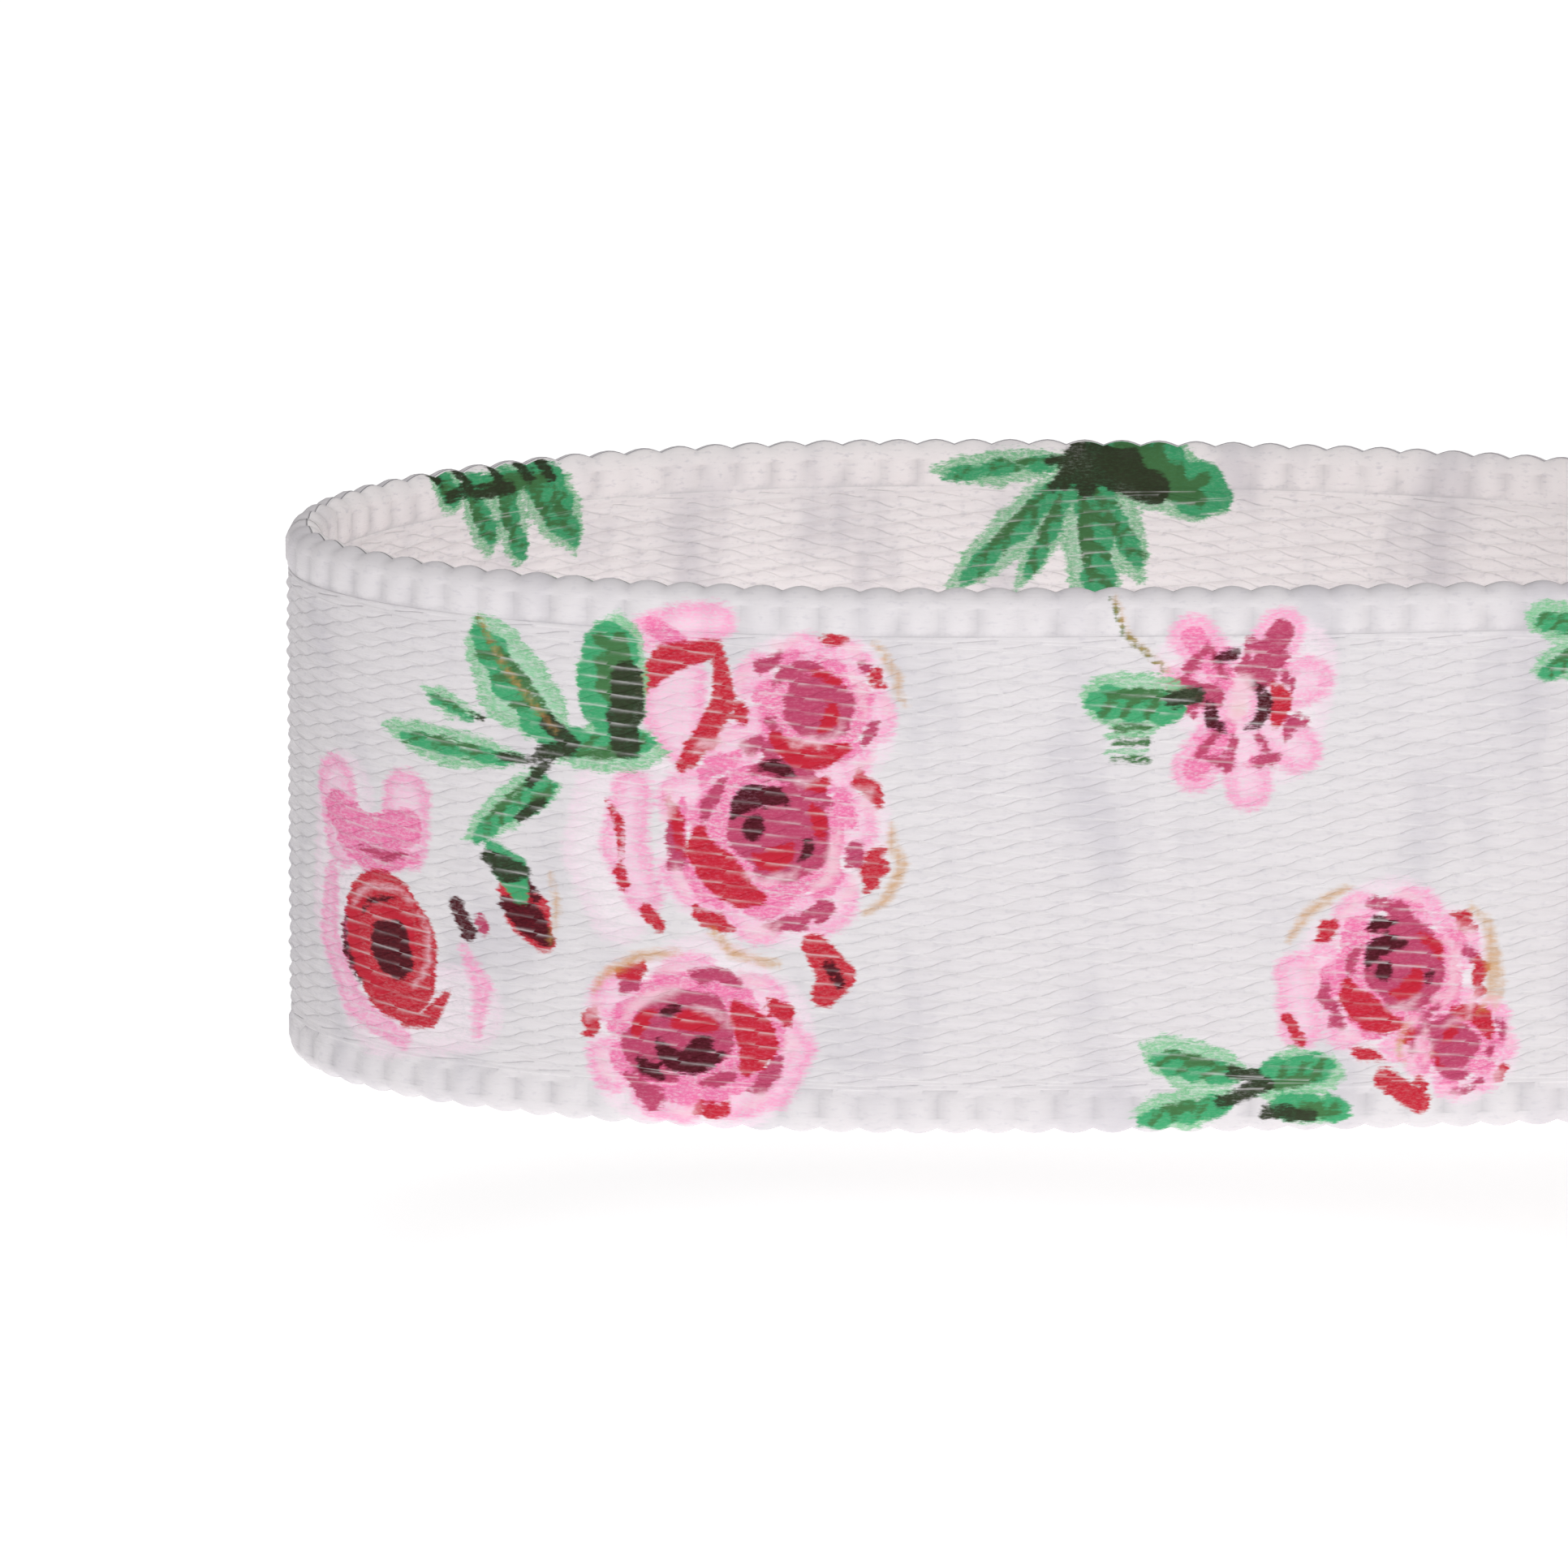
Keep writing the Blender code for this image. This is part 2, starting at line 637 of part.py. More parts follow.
def main():
    for old in list(bpy.data.objects):
        bpy.data.objects.remove(old)
    ribbon = material("ribbon", (0.80, 0.77, 0.79), 0.55)
    moulded = material("moulded_plastic", (0.86, 0.83, 0.80), 0.35)
    steel = material("nickel_steel", (0.72, 0.72, 0.74), 0.25, 1.0)
    tape = material("fastening_tape", (0.85, 0.85, 0.86), 0.85)
    felt = material("felt", (0.72, 0.42, 0.50), 0.95)
    cover = material("printed_cotton", (0.82, 0.78, 0.79), 0.75)
    stuffing = material("stuffing", (0.90, 0.89, 0.86), 0.95)
    guard = material("guard_plastic", (0.55, 0.56, 0.58), 0.40)
    thread = material("sewing_thread", (0.88, 0.86, 0.84), 0.80)
    trim = material("trim_cord", (0.70, 0.14, 0.28), 0.60)

    band_axis = make_band(ribbon)
    make_fold_stitches(thread, band_axis)
    make_tail(ribbon, tape, band_axis)
    make_loop_tape(tape)
    make_back_plate(moulded)
    make_band_pin(steel)
    make_screws(steel)
    make_felt_pads(felt)
    make_tray(moulded)
    make_needle_guard(guard)
    make_filling(stuffing)
    make_cover(cover)
    make_cords(thread, trim)


main()
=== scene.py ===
import math

import bpy
import numpy as np
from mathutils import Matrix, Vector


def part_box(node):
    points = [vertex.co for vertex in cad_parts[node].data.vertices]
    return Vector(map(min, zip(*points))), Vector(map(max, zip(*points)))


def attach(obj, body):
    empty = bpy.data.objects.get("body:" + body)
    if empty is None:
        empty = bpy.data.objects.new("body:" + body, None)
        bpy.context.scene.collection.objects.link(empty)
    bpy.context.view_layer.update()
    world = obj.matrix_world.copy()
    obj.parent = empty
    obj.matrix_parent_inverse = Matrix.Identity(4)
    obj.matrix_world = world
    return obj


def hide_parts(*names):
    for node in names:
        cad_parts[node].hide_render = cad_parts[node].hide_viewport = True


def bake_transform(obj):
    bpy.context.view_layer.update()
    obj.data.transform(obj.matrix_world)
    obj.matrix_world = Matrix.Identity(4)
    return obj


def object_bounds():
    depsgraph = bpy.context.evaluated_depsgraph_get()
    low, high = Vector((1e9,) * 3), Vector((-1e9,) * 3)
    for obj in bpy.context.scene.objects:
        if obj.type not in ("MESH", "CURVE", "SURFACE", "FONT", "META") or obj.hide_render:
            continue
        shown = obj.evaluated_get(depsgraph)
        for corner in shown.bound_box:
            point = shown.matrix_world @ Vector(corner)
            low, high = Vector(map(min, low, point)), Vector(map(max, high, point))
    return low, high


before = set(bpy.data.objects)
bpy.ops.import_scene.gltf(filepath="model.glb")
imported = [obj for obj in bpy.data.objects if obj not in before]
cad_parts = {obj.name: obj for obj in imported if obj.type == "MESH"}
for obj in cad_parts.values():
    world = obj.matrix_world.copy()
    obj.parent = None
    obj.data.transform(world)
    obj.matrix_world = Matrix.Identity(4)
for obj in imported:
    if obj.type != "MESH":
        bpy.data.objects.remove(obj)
cad_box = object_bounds()
MM = 0.001

# ------------------------------------------------------------------ camera
# The camera stands in front of the band and looks slightly down on it, from far enough away
# that the two runs of the loop are hardly seen in perspective.

CAMERA_TARGET = (-39.364 * MM, 0, 0.111 * MM)
CAMERA_DISTANCE = 597.9 * MM
CAMERA_ELEVATION = math.radians(12.11)
CAMERA_LENS = 333.8  # millimetres, on a 36 mm sensor

bpy.ops.object.camera_add(
    location=(
        CAMERA_TARGET[0],
        CAMERA_TARGET[1] - CAMERA_DISTANCE * math.cos(CAMERA_ELEVATION),
        CAMERA_TARGET[2] + CAMERA_DISTANCE * math.sin(CAMERA_ELEVATION),
    ),
    rotation=(math.pi / 2 - CAMERA_ELEVATION, 0, 0),
)
camera = bpy.context.object
camera.data.lens = CAMERA_LENS
camera.data.sensor_width = 36
camera.data.clip_start = 0.05
camera.data.clip_end = 20
bpy.context.scene.camera = camera
bpy.context.scene.view_settings.view_transform = "Standard"


# ------------------------------------------------------------------ floor and light
# The object stands on a plain white sheet that is lit from below, under one large soft lamp in
# front and above, in a white room.


class Finish:
    """A material being made: its Principled shader, and the kinds of node that the finishes use."""

    def __init__(self, name):
        self.material = bpy.data.materials.new(name)
        self.material.use_nodes = True
        self.nodes = self.material.node_tree.nodes
        self.shader = self.nodes["Principled BSDF"]

    def put(self, value, socket):
        """Joins a node's output to a socket, or sets the socket to a constant."""
        if isinstance(value, bpy.types.NodeSocket):
            self.material.node_tree.links.new(value, socket)
        elif isinstance(value, tuple) and socket.type == "RGBA":
            socket.default_value = (*value, 1)
        else:
            socket.default_value = value

    def give(self, name, value):
        self.put(value, self.shader.inputs[name])

    def place(self):
        return self.nodes.new("ShaderNodeTexCoord").outputs["Object"]

    def stored(self, name):
        """A vector that the mesh keeps under a name."""
        node = self.nodes.new("ShaderNodeAttribute")
        node.attribute_name = name
        return node.outputs["Vector"]

    def split(self, vector):
        node = self.nodes.new("ShaderNodeSeparateXYZ")
        self.put(vector, node.inputs[0])
        return node.outputs

    def maths(self, kind, *values):
        node = self.nodes.new("ShaderNodeMath")
        node.operation = kind
        for value, socket in zip(values, node.inputs):
            self.put(value, socket)
        return node.outputs[0]

    def mix(self, share, first, second):
        """Two colours mixed: all of the first at 0, all of the second at 1."""
        node = self.nodes.new("ShaderNodeMix")
        node.data_type = "RGBA"
        sockets = [s for s in node.inputs if s.enabled]
        for value, socket in zip((share, first, second), sockets):
            self.put(value, socket)
        return [s for s in node.outputs if s.enabled][0]

    def noise(self, vector, scale, detail=2.0, rough=0.5, stretch=(1, 1, 1)):
        """Noise of a scale, over a place that is first stretched along each of its axes."""
        wider = self.nodes.new("ShaderNodeVectorMath")
        wider.operation = "MULTIPLY"
        self.put(vector, wider.inputs[0])
        wider.inputs[1].default_value = stretch
        node = self.nodes.new("ShaderNodeTexNoise")
        self.put(wider.outputs[0], node.inputs["Vector"])
        node.inputs["Scale"].default_value = scale
        node.inputs["Detail"].default_value = detail
        node.inputs["Roughness"].default_value = rough
        return node.outputs["Fac"]

    def ranged(self, value, low, high, to_low=0.0, to_high=1.0, smooth=True):
        """A value moved from one range to another and held within it."""
        node = self.nodes.new("ShaderNodeMapRange")
        node.interpolation_type = "SMOOTHSTEP" if smooth else "LINEAR"
        for end, number in zip(("From Min", "From Max", "To Min", "To Max"), (low, high, to_low, to_high)):
            node.inputs[end].default_value = number
        self.put(value, node.inputs["Value"])
        return node.outputs["Result"]

    def bump(self, height, strength, distance, under=None, hollow=False):
        """A surface raised by a height, or sunk where it is hollow, over one bumped before it."""
        node = self.nodes.new("ShaderNodeBump")
        node.invert = hollow
        node.inputs["Strength"].default_value = strength
        node.inputs["Distance"].default_value = distance * MM
        self.put(height, node.inputs["Height"])
        if under is not None:
            self.put(under, node.inputs["Normal"])
        self.give("Normal", node.outputs[0])
        return node.outputs[0]


FLOOR_Z = cad_box[0][2]
FLOOR_SIZE = 3.0
FLOOR_GLOW = 0.66  # the sheet lets light through from below

bpy.ops.mesh.primitive_plane_add(size=FLOOR_SIZE, location=(0, 0, FLOOR_Z - 0.05 * MM))
floor = bpy.context.object
floor.name = "floor"
sheet = Finish("white sheet")
sheet.give("Base Color", (0.93, 0.93, 0.93))
sheet.give("Roughness", 0.9)
sheet.give("Specular IOR Level", 0.1)
sheet.give("Emission Color", (1.0, 1.0, 1.0))
sheet.give("Emission Strength", FLOOR_GLOW)
floor.data.materials.append(sheet.material)

room = bpy.data.worlds.new("white room")
room.use_nodes = True
background = room.node_tree.nodes["Background"]
background.inputs["Color"].default_value = (1.0, 0.99, 0.99, 1)
background.inputs["Strength"].default_value = 0.3
bpy.context.scene.world = room


bpy.ops.object.light_add(type="AREA", location=(0.14, -0.88, 0.85))
lamp = bpy.context.object
lamp.name = "key lamp"
lamp.data.energy = 7.2
lamp.data.size = 0.8
lamp.rotation_euler = (Vector(CAMERA_TARGET) - lamp.location).to_track_quat("-Z", "Y").to_euler()

# ------------------------------------------------------------------ ribbon
# Woven polyester ribbon, 22 mm wide, printed on both faces with loose watercolour roses. Its floats
# lie side by side as in a twill, and the weft loops back at both edges into a row of small beads.

RIBBON_HALF_WIDTH = 11.0
HALF_THICKNESS = 0.7
LOOP_CENTRE_X = -33.0
LOOP_REACH = 26.0
NEAR_APEX, NEAR_RUN, NEAR_DROP, NEAR_POWER = 14.3, 34.2, 3.1, 2.0
FAR_APEX, FAR_RUN, FAR_DROP, FAR_POWER = 17.6, 31.4, 6.25, 2.4
FOLD_RADIUS, FOLD_LENGTH, FOLD_EASE, FOLD_CLOSED = 1.65, 7.0, 4.4, 1.7
TAIL_TIP_Y = -5.9

PICK = 1.57  # distance between the loops of weft along the ribbon; a float is two picks long
ROW = 0.583  # height of one row of floats
ROWS = 32  # rows of floats between the two selvages
STEP = 3  # the pattern shifts by one row in this many picks, so a row has three floats in turn
SWING = 0.94  # how nearly the edges of two floats touch where a third one is hidden
COLUMNS_PER_PICK = 6  # of the mesh
RELIEF = 0.13  # height of a float above the valleys beside it
FLOATS_FADED = 4  # floats that straighten towards each selvage
LEAST_GAP = 0.006  # between two edges that touch, so that they keep their order
BEAD = 0.22  # how far the loops stand out at the ribbon's edges
LOOP_START_PICK, FRONT_START_PICK, LOOP_END_PICK = -39.5, 0, 37  # where the ribbon's meshes meet


def run_points(count, apex, length, drop, power):
    """A run of the band from the loop's centre to its end: x, and distance from the X axis."""
    share = np.linspace(0, 1, count)
    return LOOP_CENTRE_X + length * share, apex - drop * share**power


def turn(centre, first, angles):
    """Points on an arc about a centre, from the first point through each angle."""
    arm = complex(*first) - complex(*centre)
    turned = complex(*centre) + arm * np.exp(1j * angles)
    return np.stack([turned.real, turned.imag], axis=1)


def middle_line():
    """The ribbon's middle in plan, from the tip of the tail to the turned-in end at the pin."""
    far_x, far_y = run_points(300, FAR_APEX, FAR_RUN, FAR_DROP, FAR_POWER)
    far = np.stack([far_x, far_y], axis=1)
    slope = -FAR_POWER * FAR_DROP / FAR_RUN
    far_heading = complex(1, slope) / abs(complex(1, slope))
    radius = (HALF_THICKNESS - far[-1, 0]) / (1 + far_heading.imag)
    centre = far[-1] - radius * np.array([-far_heading.imag, far_heading.real])
    last_turn = -(math.pi / 2 + math.asin(far_heading.imag))
    bend = turn(centre, far[-1], np.linspace(0, last_turn, 60))
    tail = np.stack([np.full(80, HALF_THICKNESS), np.linspace(bend[-1, 1], TAIL_TIP_Y, 80)], axis=1)
    around = np.linspace(math.pi / 2, -math.pi / 2, 500)
    apex = np.where(around > 0, FAR_APEX, NEAR_APEX)
    end = np.stack([LOOP_CENTRE_X - LOOP_REACH * np.cos(around), apex * np.sin(around)], axis=1)
    near_x, near_y = run_points(300, NEAR_APEX, NEAR_RUN, NEAR_DROP, NEAR_POWER)
    near = np.stack([near_x, -near_y], axis=1)
    near_slope = NEAR_POWER * NEAR_DROP / NEAR_RUN
    left = complex(-near_slope, 1) / abs(complex(-near_slope, 1))
    pin = near[-1] + FOLD_RADIUS * np.array([left.real, left.imag])
    half_turn = turn(pin, near[-1], np.linspace(0, math.pi, 50))
    back_x = np.linspace(near_x[-1], near_x[-1] - FOLD_LENGTH, 60)
    share = (back_x - LOOP_CENTRE_X) / NEAR_RUN
    slopes = NEAR_POWER * NEAR_DROP / NEAR_RUN * share ** (NEAR_POWER - 1)
    lefts = np.stack([-slopes, np.ones(60)], axis=1)
    lefts /= np.linalg.norm(lefts, axis=1)[:, None]
    eased = np.clip(1 - (near_x[-1] - back_x) / FOLD_EASE, 0, 1)
    gap = FOLD_CLOSED + (2 * FOLD_RADIUS - FOLD_CLOSED) * eased**2 * (3 - 2 * eased)
    base = np.stack([back_x, -(NEAR_APEX - NEAR_DROP * share**NEAR_POWER)], axis=1)
    back = base + lefts * gap[:, None]
    parts = [tail[::-1], bend[::-1][1:], far[::-1][1:], end[1:-1], near, half_turn[1:], back[1:]]
    return np.concatenate(parts)


line = middle_line()
line_steps = np.linalg.norm(np.diff(line, axis=0), axis=1)
line_length = np.concatenate([[0], np.cumsum(line_steps)])
line_length -= line_length[np.argmin(line[:, 0])]  # 0 at the tip of the loop, more towards the pin


def on_line(length):
    """Points of the middle line, and the direction to its left, at lengths along it."""
    ahead, behind = length + 0.15, length - 0.15
    point = np.stack([np.interp(length, line_length, line[:, i]) for i in (0, 1)], axis=1)
    heading = np.stack(
        [
            np.interp(ahead, line_length, line[:, i]) - np.interp(behind, line_length, line[:, i])
            for i in (0, 1)
        ],
        axis=1,
    )
    heading /= np.linalg.norm(heading, axis=1)[:, None]
    return point, np.stack([-heading[:, 1], heading[:, 0]], axis=1)


def float_edge(place):
    """The edge between two floats along three picks: it sinks for two and climbs back in one."""
    through = np.mod(place, STEP)
    back = np.clip(through - (STEP - 1), 0, 1)
    eased = back - 0.1 * np.sin(2 * math.pi * back)
    sinking = (through - 1) / STEP
    climbing = (STEP - 2 + back) / STEP - eased
    return np.where(back > 0, climbing, sinking), back > 0


def float_rows(length, samples):
    """Heights across a face, the relief there and how near each point lies to a float's edge.

    The last is 1 on the edges that climb, which the finish darkens with painted shade, -1 on the ones that
    sink, which it lightens as bare thread and painted highlight, 0 in between.
    """
    number = np.arange(STEP * ROWS + 1)[None, :]
    place = length[:, None]
    drift = 0.10 * np.sin(0.33 * place + 0.05 * number) + 0.06 * np.sin(0.9 * place - 0.09 * number)
    edge, climbs = float_edge(place / PICK + number + drift)
    from_side = np.minimum(number, STEP * ROWS - number)
    fade = SWING * np.clip(from_side / FLOATS_FADED, 0, 1)
    border = ((number - STEP * ROWS / 2) / STEP - fade * edge) * ROW
    spread = LEAST_GAP * number
    border = np.maximum.accumulate(border - spread, axis=1) + spread
    share = np.arange(samples)[None, None, :] / samples
    low, high = border[:, :-1, None], border[:, 1:, None]
    height = (low + (high - low) * share).reshape(len(length), -1)
    fullness = np.clip((high - low) / ROW, 0, 1)
    strand = number[:, :-1]
    uneven = 1 + 0.25 * np.sin(0.71 * place + 1.9 * strand) * np.sin(0.23 * place + strand)
    profile = np.sqrt(np.clip(1 - (2 * share - 1) ** 2, 0, 1))
    relief = (RELIEF * fullness**0.7 * uneven[:, :, None] * profile).reshape(len(length), -1)
    seam = np.where(climbs, 1.0, -1.0)
    hidden = 1 - np.clip(4 * fullness, 0, 1)
    rim = np.where(share == 0, seam[:, :-1, None], -hidden * np.ones_like(share))
    last = border[:, -1:]
    none = np.zeros_like(last)
    return (
        np.concatenate([height, last], axis=1),
        np.concatenate([relief, none], axis=1),
        np.concatenate([rim.reshape(len(length), -1), none + 1], axis=1),
    )


SELVAGE_STEPS = (0.25, 0.6, 0.95)  # across the selvage, from the last row of floats
RIB_HEIGHT = 0.16  # of the ribs of weft across the selvage
# The hollows between the selvage's ribs are darkened with painted shade, as well as bumped.
HOLLOW_WIDTH = 0.3  # how narrow the dark hollows between the ribs are: less is wider
FACE_SINK = 0.06  # the floor of the valleys lies this far under the ribbon's nominal face
EDGE_SWELL = 0.04  # how much thicker the edge is at a loop
EDGE_REACH = 0.5
EDGE_POINTS = 9
FACE_SAMPLES = {"outer": 2, "inner": 2}


def ribbon_section(length):
    """Points round the ribbon's section at each length.

    For each point: how far it lies to the left of the middle line, its height, how near it is to a
    float's edge, and its side from -1 on the outer face to 1 on the inner one.
    """
    bead = np.abs(np.cos(math.pi * length / PICK))[:, None]
    face_edge = RIBBON_HALF_WIDTH - EDGE_REACH
    rounds = []
    for side, face in ((-1, "outer"), (1, "inner")):
        height, relief, rim = float_rows(length, FACE_SAMPLES[face])
        ribs = RIB_HEIGHT * bead
        ends = []
        for edge, last in ((-1, height[:, :1]), (1, height[:, -1:])):
            steps = last + (edge * face_edge - last) * np.array([SELVAGE_STEPS])
            # Painted shade in the hollows between the ribs, passed on with the float edges that the finish
            # darkens.
            between = np.broadcast_to((1 - bead) ** HOLLOW_WIDTH, steps.shape)
            ends.append((steps, np.broadcast_to(ribs, steps.shape), between))
        low, high = ends
        z = np.concatenate([low[0][:, ::-1], height, high[0]], axis=1)
        rise = np.concatenate([low[1], relief, high[1]], axis=1)
        rims = np.concatenate([low[2], rim, high[2]], axis=1)
        off = side * (HALF_THICKNESS + rise - FACE_SINK)
        if side == 1:
            z, off, rims = z[:, ::-1], off[:, ::-1], rims[:, ::-1]
        rounds.append((off, z, rims, np.full(z.shape, float(side))))
        angles = np.linspace(0, math.pi, EDGE_POINTS + 2)[1:-1][None, :]
        reach = EDGE_REACH + BEAD * bead * np.sin(angles)
        edge_z = -side * (face_edge + np.sin(angles) * reach)
        edge_off = side * np.cos(angles) * (HALF_THICKNESS + EDGE_SWELL * bead)
        blank = np.zeros(edge_z.shape)
        rounds.append((edge_off, edge_z, blank, side * np.cos(angles) + blank))
    return [np.concatenate(parts, axis=1) for parts in zip(*rounds)]


def store(mesh, name, values):
    """Keeps three numbers a point on the mesh under a name that its material reads."""
    layer = mesh.attributes.new(name, "FLOAT_VECTOR", "POINT")
    layer.data.foreach_set("vector", np.ascontiguousarray(values, dtype=np.float32).ravel())


def clear_selection():
    if bpy.context.object and bpy.context.object.mode != "OBJECT":
        bpy.ops.object.mode_set(mode="OBJECT")
    bpy.ops.object.select_all(action="DESELECT")


def close_skin(piece):
    """Joins a rolled-up sheet along its seam and closes its two ends."""
    clear_selection()
    piece.select_set(True)
    bpy.context.view_layer.objects.active = piece
    bpy.ops.object.mode_set(mode="EDIT")
    bpy.ops.mesh.select_all(action="SELECT")
    bpy.ops.mesh.remove_doubles(threshold=0.002 * MM)
    bpy.ops.mesh.select_all(action="DESELECT")
    bpy.ops.mesh.select_non_manifold()
    bpy.ops.mesh.fill_holes(sides=0)
    bpy.ops.mesh.select_all(action="SELECT")
    bpy.ops.mesh.normals_make_consistent(inside=False)
    bpy.ops.object.mode_set(mode="OBJECT")
    bpy.ops.object.shade_smooth()


def woven_piece(name, start, end):
    """A stretch of the ribbon between two lengths, as a rolled-up sheet with its weave in relief, not yet
    closed.
    """
    count = int(round((end - start) / PICK * COLUMNS_PER_PICK)) + 1
    length = np.linspace(start, end, count)
    off, z, rim, side = ribbon_section(length)
    across = off.shape[1] + 1
    clear_selection()
    bpy.ops.mesh.primitive_grid_add(x_subdivisions=across - 1, y_subdivisions=count - 1, size=0.02)
    piece = bpy.context.object
    piece.name = name
    point, left = on_line(length)
    closed = [np.concatenate([part, part[:, :1]], axis=1) for part in (off, z, rim, side)]
    off, z, rim, side = closed
    place = np.empty((count, across, 3))
    place[:, :, 0] = point[:, None, 0] + left[:, None, 0] * off
    place[:, :, 1] = point[:, None, 1] + left[:, None, 1] * off
    place[:, :, 2] = z
    piece.location = (0, 0, 0)
    piece.data.vertices.foreach_set("co", (place * MM).ravel())
    along = np.broadcast_to(length[:, None], z.shape)
    return piece, along, z, rim, side


# The print. Every colour is a set of brush dabs laid down in order, from pale washes to the darkest
# accents. A dab is a line of points with a radius at each, in millimetres along and up the ribbon.

INK_COLOURS = {
    "wash": (0.90, 0.72, 0.82),
    "blush": (0.92, 0.35, 0.58),
    "pink": (0.86, 0.19, 0.41),
    "rose": (0.50, 0.055, 0.14),
    "red": (0.56, 0.013, 0.034),
    "wine": (0.07, 0.003, 0.009),
    "mint": (0.23, 0.56, 0.30),
    "green": (0.05, 0.38, 0.16),
    "moss": (0.06, 0.18, 0.06),
    "bark": (0.032, 0.042, 0.02),
    "ochre": (0.62, 0.33, 0.11),
    "light": (0.90, 0.62, 0.70),
}
INKS = tuple(INK_COLOURS)  # in the order in which they are laid down
PALE_MIDDLES = {"wash": (0.93, 0.82, 0.88), "blush": (0.93, 0.60, 0.75), "mint": (0.34, 0.66, 0.42)}
# Partly painted highlight: the sinking edges of the floats are lightened towards this colour, as bare thread
# where the inks don't reach and as painted highlight along the rows.
BARE_THREAD_AND_HIGHLIGHT = (0.96, 0.93, 0.94)  # the edges of the floats, where the inks don't reach
NO_INK = 9.0  # millimetres from any dab: further than the print ever looks
LEAF_BODY = ((0.06, 0), (0.3, 1), (0.5, 2), (0.75, 1), (0.94, 0))  # share of the length, bend


class Bed:
    """A print being composed: the dabs of each ink."""

    def __init__(self, seed):
        self.dabs = {ink: [] for ink in INKS}
        self.chance = np.random.default_rng(seed)

    def dab(self, ink, *points, width=1.0, tips=0.35):
        """A brush stroke through the points, widest in the middle and narrow at its tips."""
        points = np.array(points, dtype=float)
        if len(points) == 1:
            points = np.concatenate([points - (0.05, 0), points + (0.05, 0)])
        share = np.linspace(0, 1, len(points))
        fullness = tips + (1 - tips) * np.sin(math.pi * share) if len(points) > 2 else 0 * share + 1
        self.dabs[ink].append((points, width / 2 * fullness))

    def arc(self, ink, centre, radius, middle, sweep, width, squash=1.0):
        """A curved stroke round a centre, its middle at an angle in degrees."""
        jitter = self.chance.uniform(-1, 1, 3)
        middle = middle + 7 * jitter[0]
        sweep = sweep * (1 + 0.2 * jitter[1])
        radius = radius * (1 + 0.06 * jitter[2])
        angles = np.radians(middle + np.linspace(-sweep / 2, sweep / 2, 6))
        wobble = 1 + self.chance.uniform(-0.06, 0.06, 6)
        x = centre[0] + radius * wobble * np.cos(angles)
        y = centre[1] + radius * wobble * np.sin(angles) * squash
        self.dab(ink, *zip(x, y), width=width)

    def distances(self, along, up):
        """For each ink, how far outside its dabs every point lies."""
        found = {}
        for ink, dabs in self.dabs.items():
            field = np.full(along.shape, NO_INK)
            for points, radii in dabs:
                reach = radii.max() + 1.0
                low, high = points.min(axis=0) - reach, points.max(axis=0) + reach
                near = (along > low[0]) & (along < high[0]) & (up > low[1]) & (up < high[1])
                if not near.any():
                    continue
                x, y = along[near], up[near]
                best = field[near]
                for (ax, ay), (bx, by), ra, rb in zip(points, points[1:], radii, radii[1:]):
                    dx, dy = bx - ax, by - ay
                    t = np.clip(((x - ax) * dx + (y - ay) * dy) / (dx * dx + dy * dy), 0, 1)
                    gap = np.hypot(x - ax - t * dx, y - ay - t * dy) - (ra + (rb - ra) * t)
                    best = np.minimum(best, gap)
                field[near] = best
            found[ink] = field
        return found

    def rose(self, x, y, size, turned=0.0, squash=1.0, deep=True):
        """A full rose seen from the front: rings of petals about a dark heart set off centre."""
        c = (x, y)
        by = turned
        for k in range(5):
            self.arc("wash", c, 0.5 * size, by + 72 * k, 60, 1.0 * size, squash)
        for k in range(7):
            middle = by + 360 / 7 * k
            self.arc("blush", c, 0.74 * size, middle, 36, 0.4 * size, squash)
            self.arc("pink", c, 0.66 * size, middle + 12, 34, 0.16 * size, squash)
            self.arc("light", c, 0.84 * size, middle + 8, 20, 0.07 * size, squash)
            if k % 2 == 0:
                self.arc("red", c, 0.86 * size, middle + 24, 20, 0.15 * size, squash)
                self.arc("rose", c, 0.76 * size, middle - 12, 14, 0.12 * size, squash)
            else:
                self.arc("rose", c, 0.72 * size, middle + 26, 30, 0.13 * size, squash)
        self.dab("pink", (x - 0.1 * size, y), (x, y), (x + 0.1 * size, y), width=1.15 * size, tips=0.9)
        self.arc("rose", c, 0.3 * size, by + 350, 230, 0.44 * size, squash)
        heart = ((x - 0.1 * size, y), (x, y - 0.05 * size), (x + 0.12 * size, y))
        self.dab("rose", *heart, width=0.5 * size, tips=0.9)
        self.arc("rose", c, 0.5 * size, by + 150, 44, 0.12 * size, squash)
        self.arc("pink", c, 0.34 * size, by + 110, 80, 0.2 * size, squash)
        self.arc("rose", c, 0.52 * size, by + 60, 70, 0.2 * size, squash)
        self.arc("red", c, 0.52 * size, by + 218, 100, 0.34 * size, squash)
        self.arc("red", c, 0.46 * size, by + 15, 50, 0.13 * size, squash)
        self.arc("red", c, 0.22 * size, by + 290, 90, 0.2 * size, squash)
        self.arc("light", c, 0.38 * size, by + 265, 60, 0.06 * size, squash)
        self.arc("light", c, 0.6 * size, by + 335, 60, 0.1 * size, squash)
        if deep:
            self.arc("wine", c, 0.3 * size, by + 105, 110, 0.2 * size, squash)
            self.arc("wine", c, 0.12 * size, by + 150, 90, 0.18 * size, squash)
            self.arc("wine", c, 0.55 * size, by + 80, 36, 0.13 * size, squash)
            self.arc("wine", c, 0.36 * size, by + 330, 30, 0.09 * size, squash)
        self.arc("ochre", c, 1.0 * size, by - 20, 50, 0.08 * size, squash)

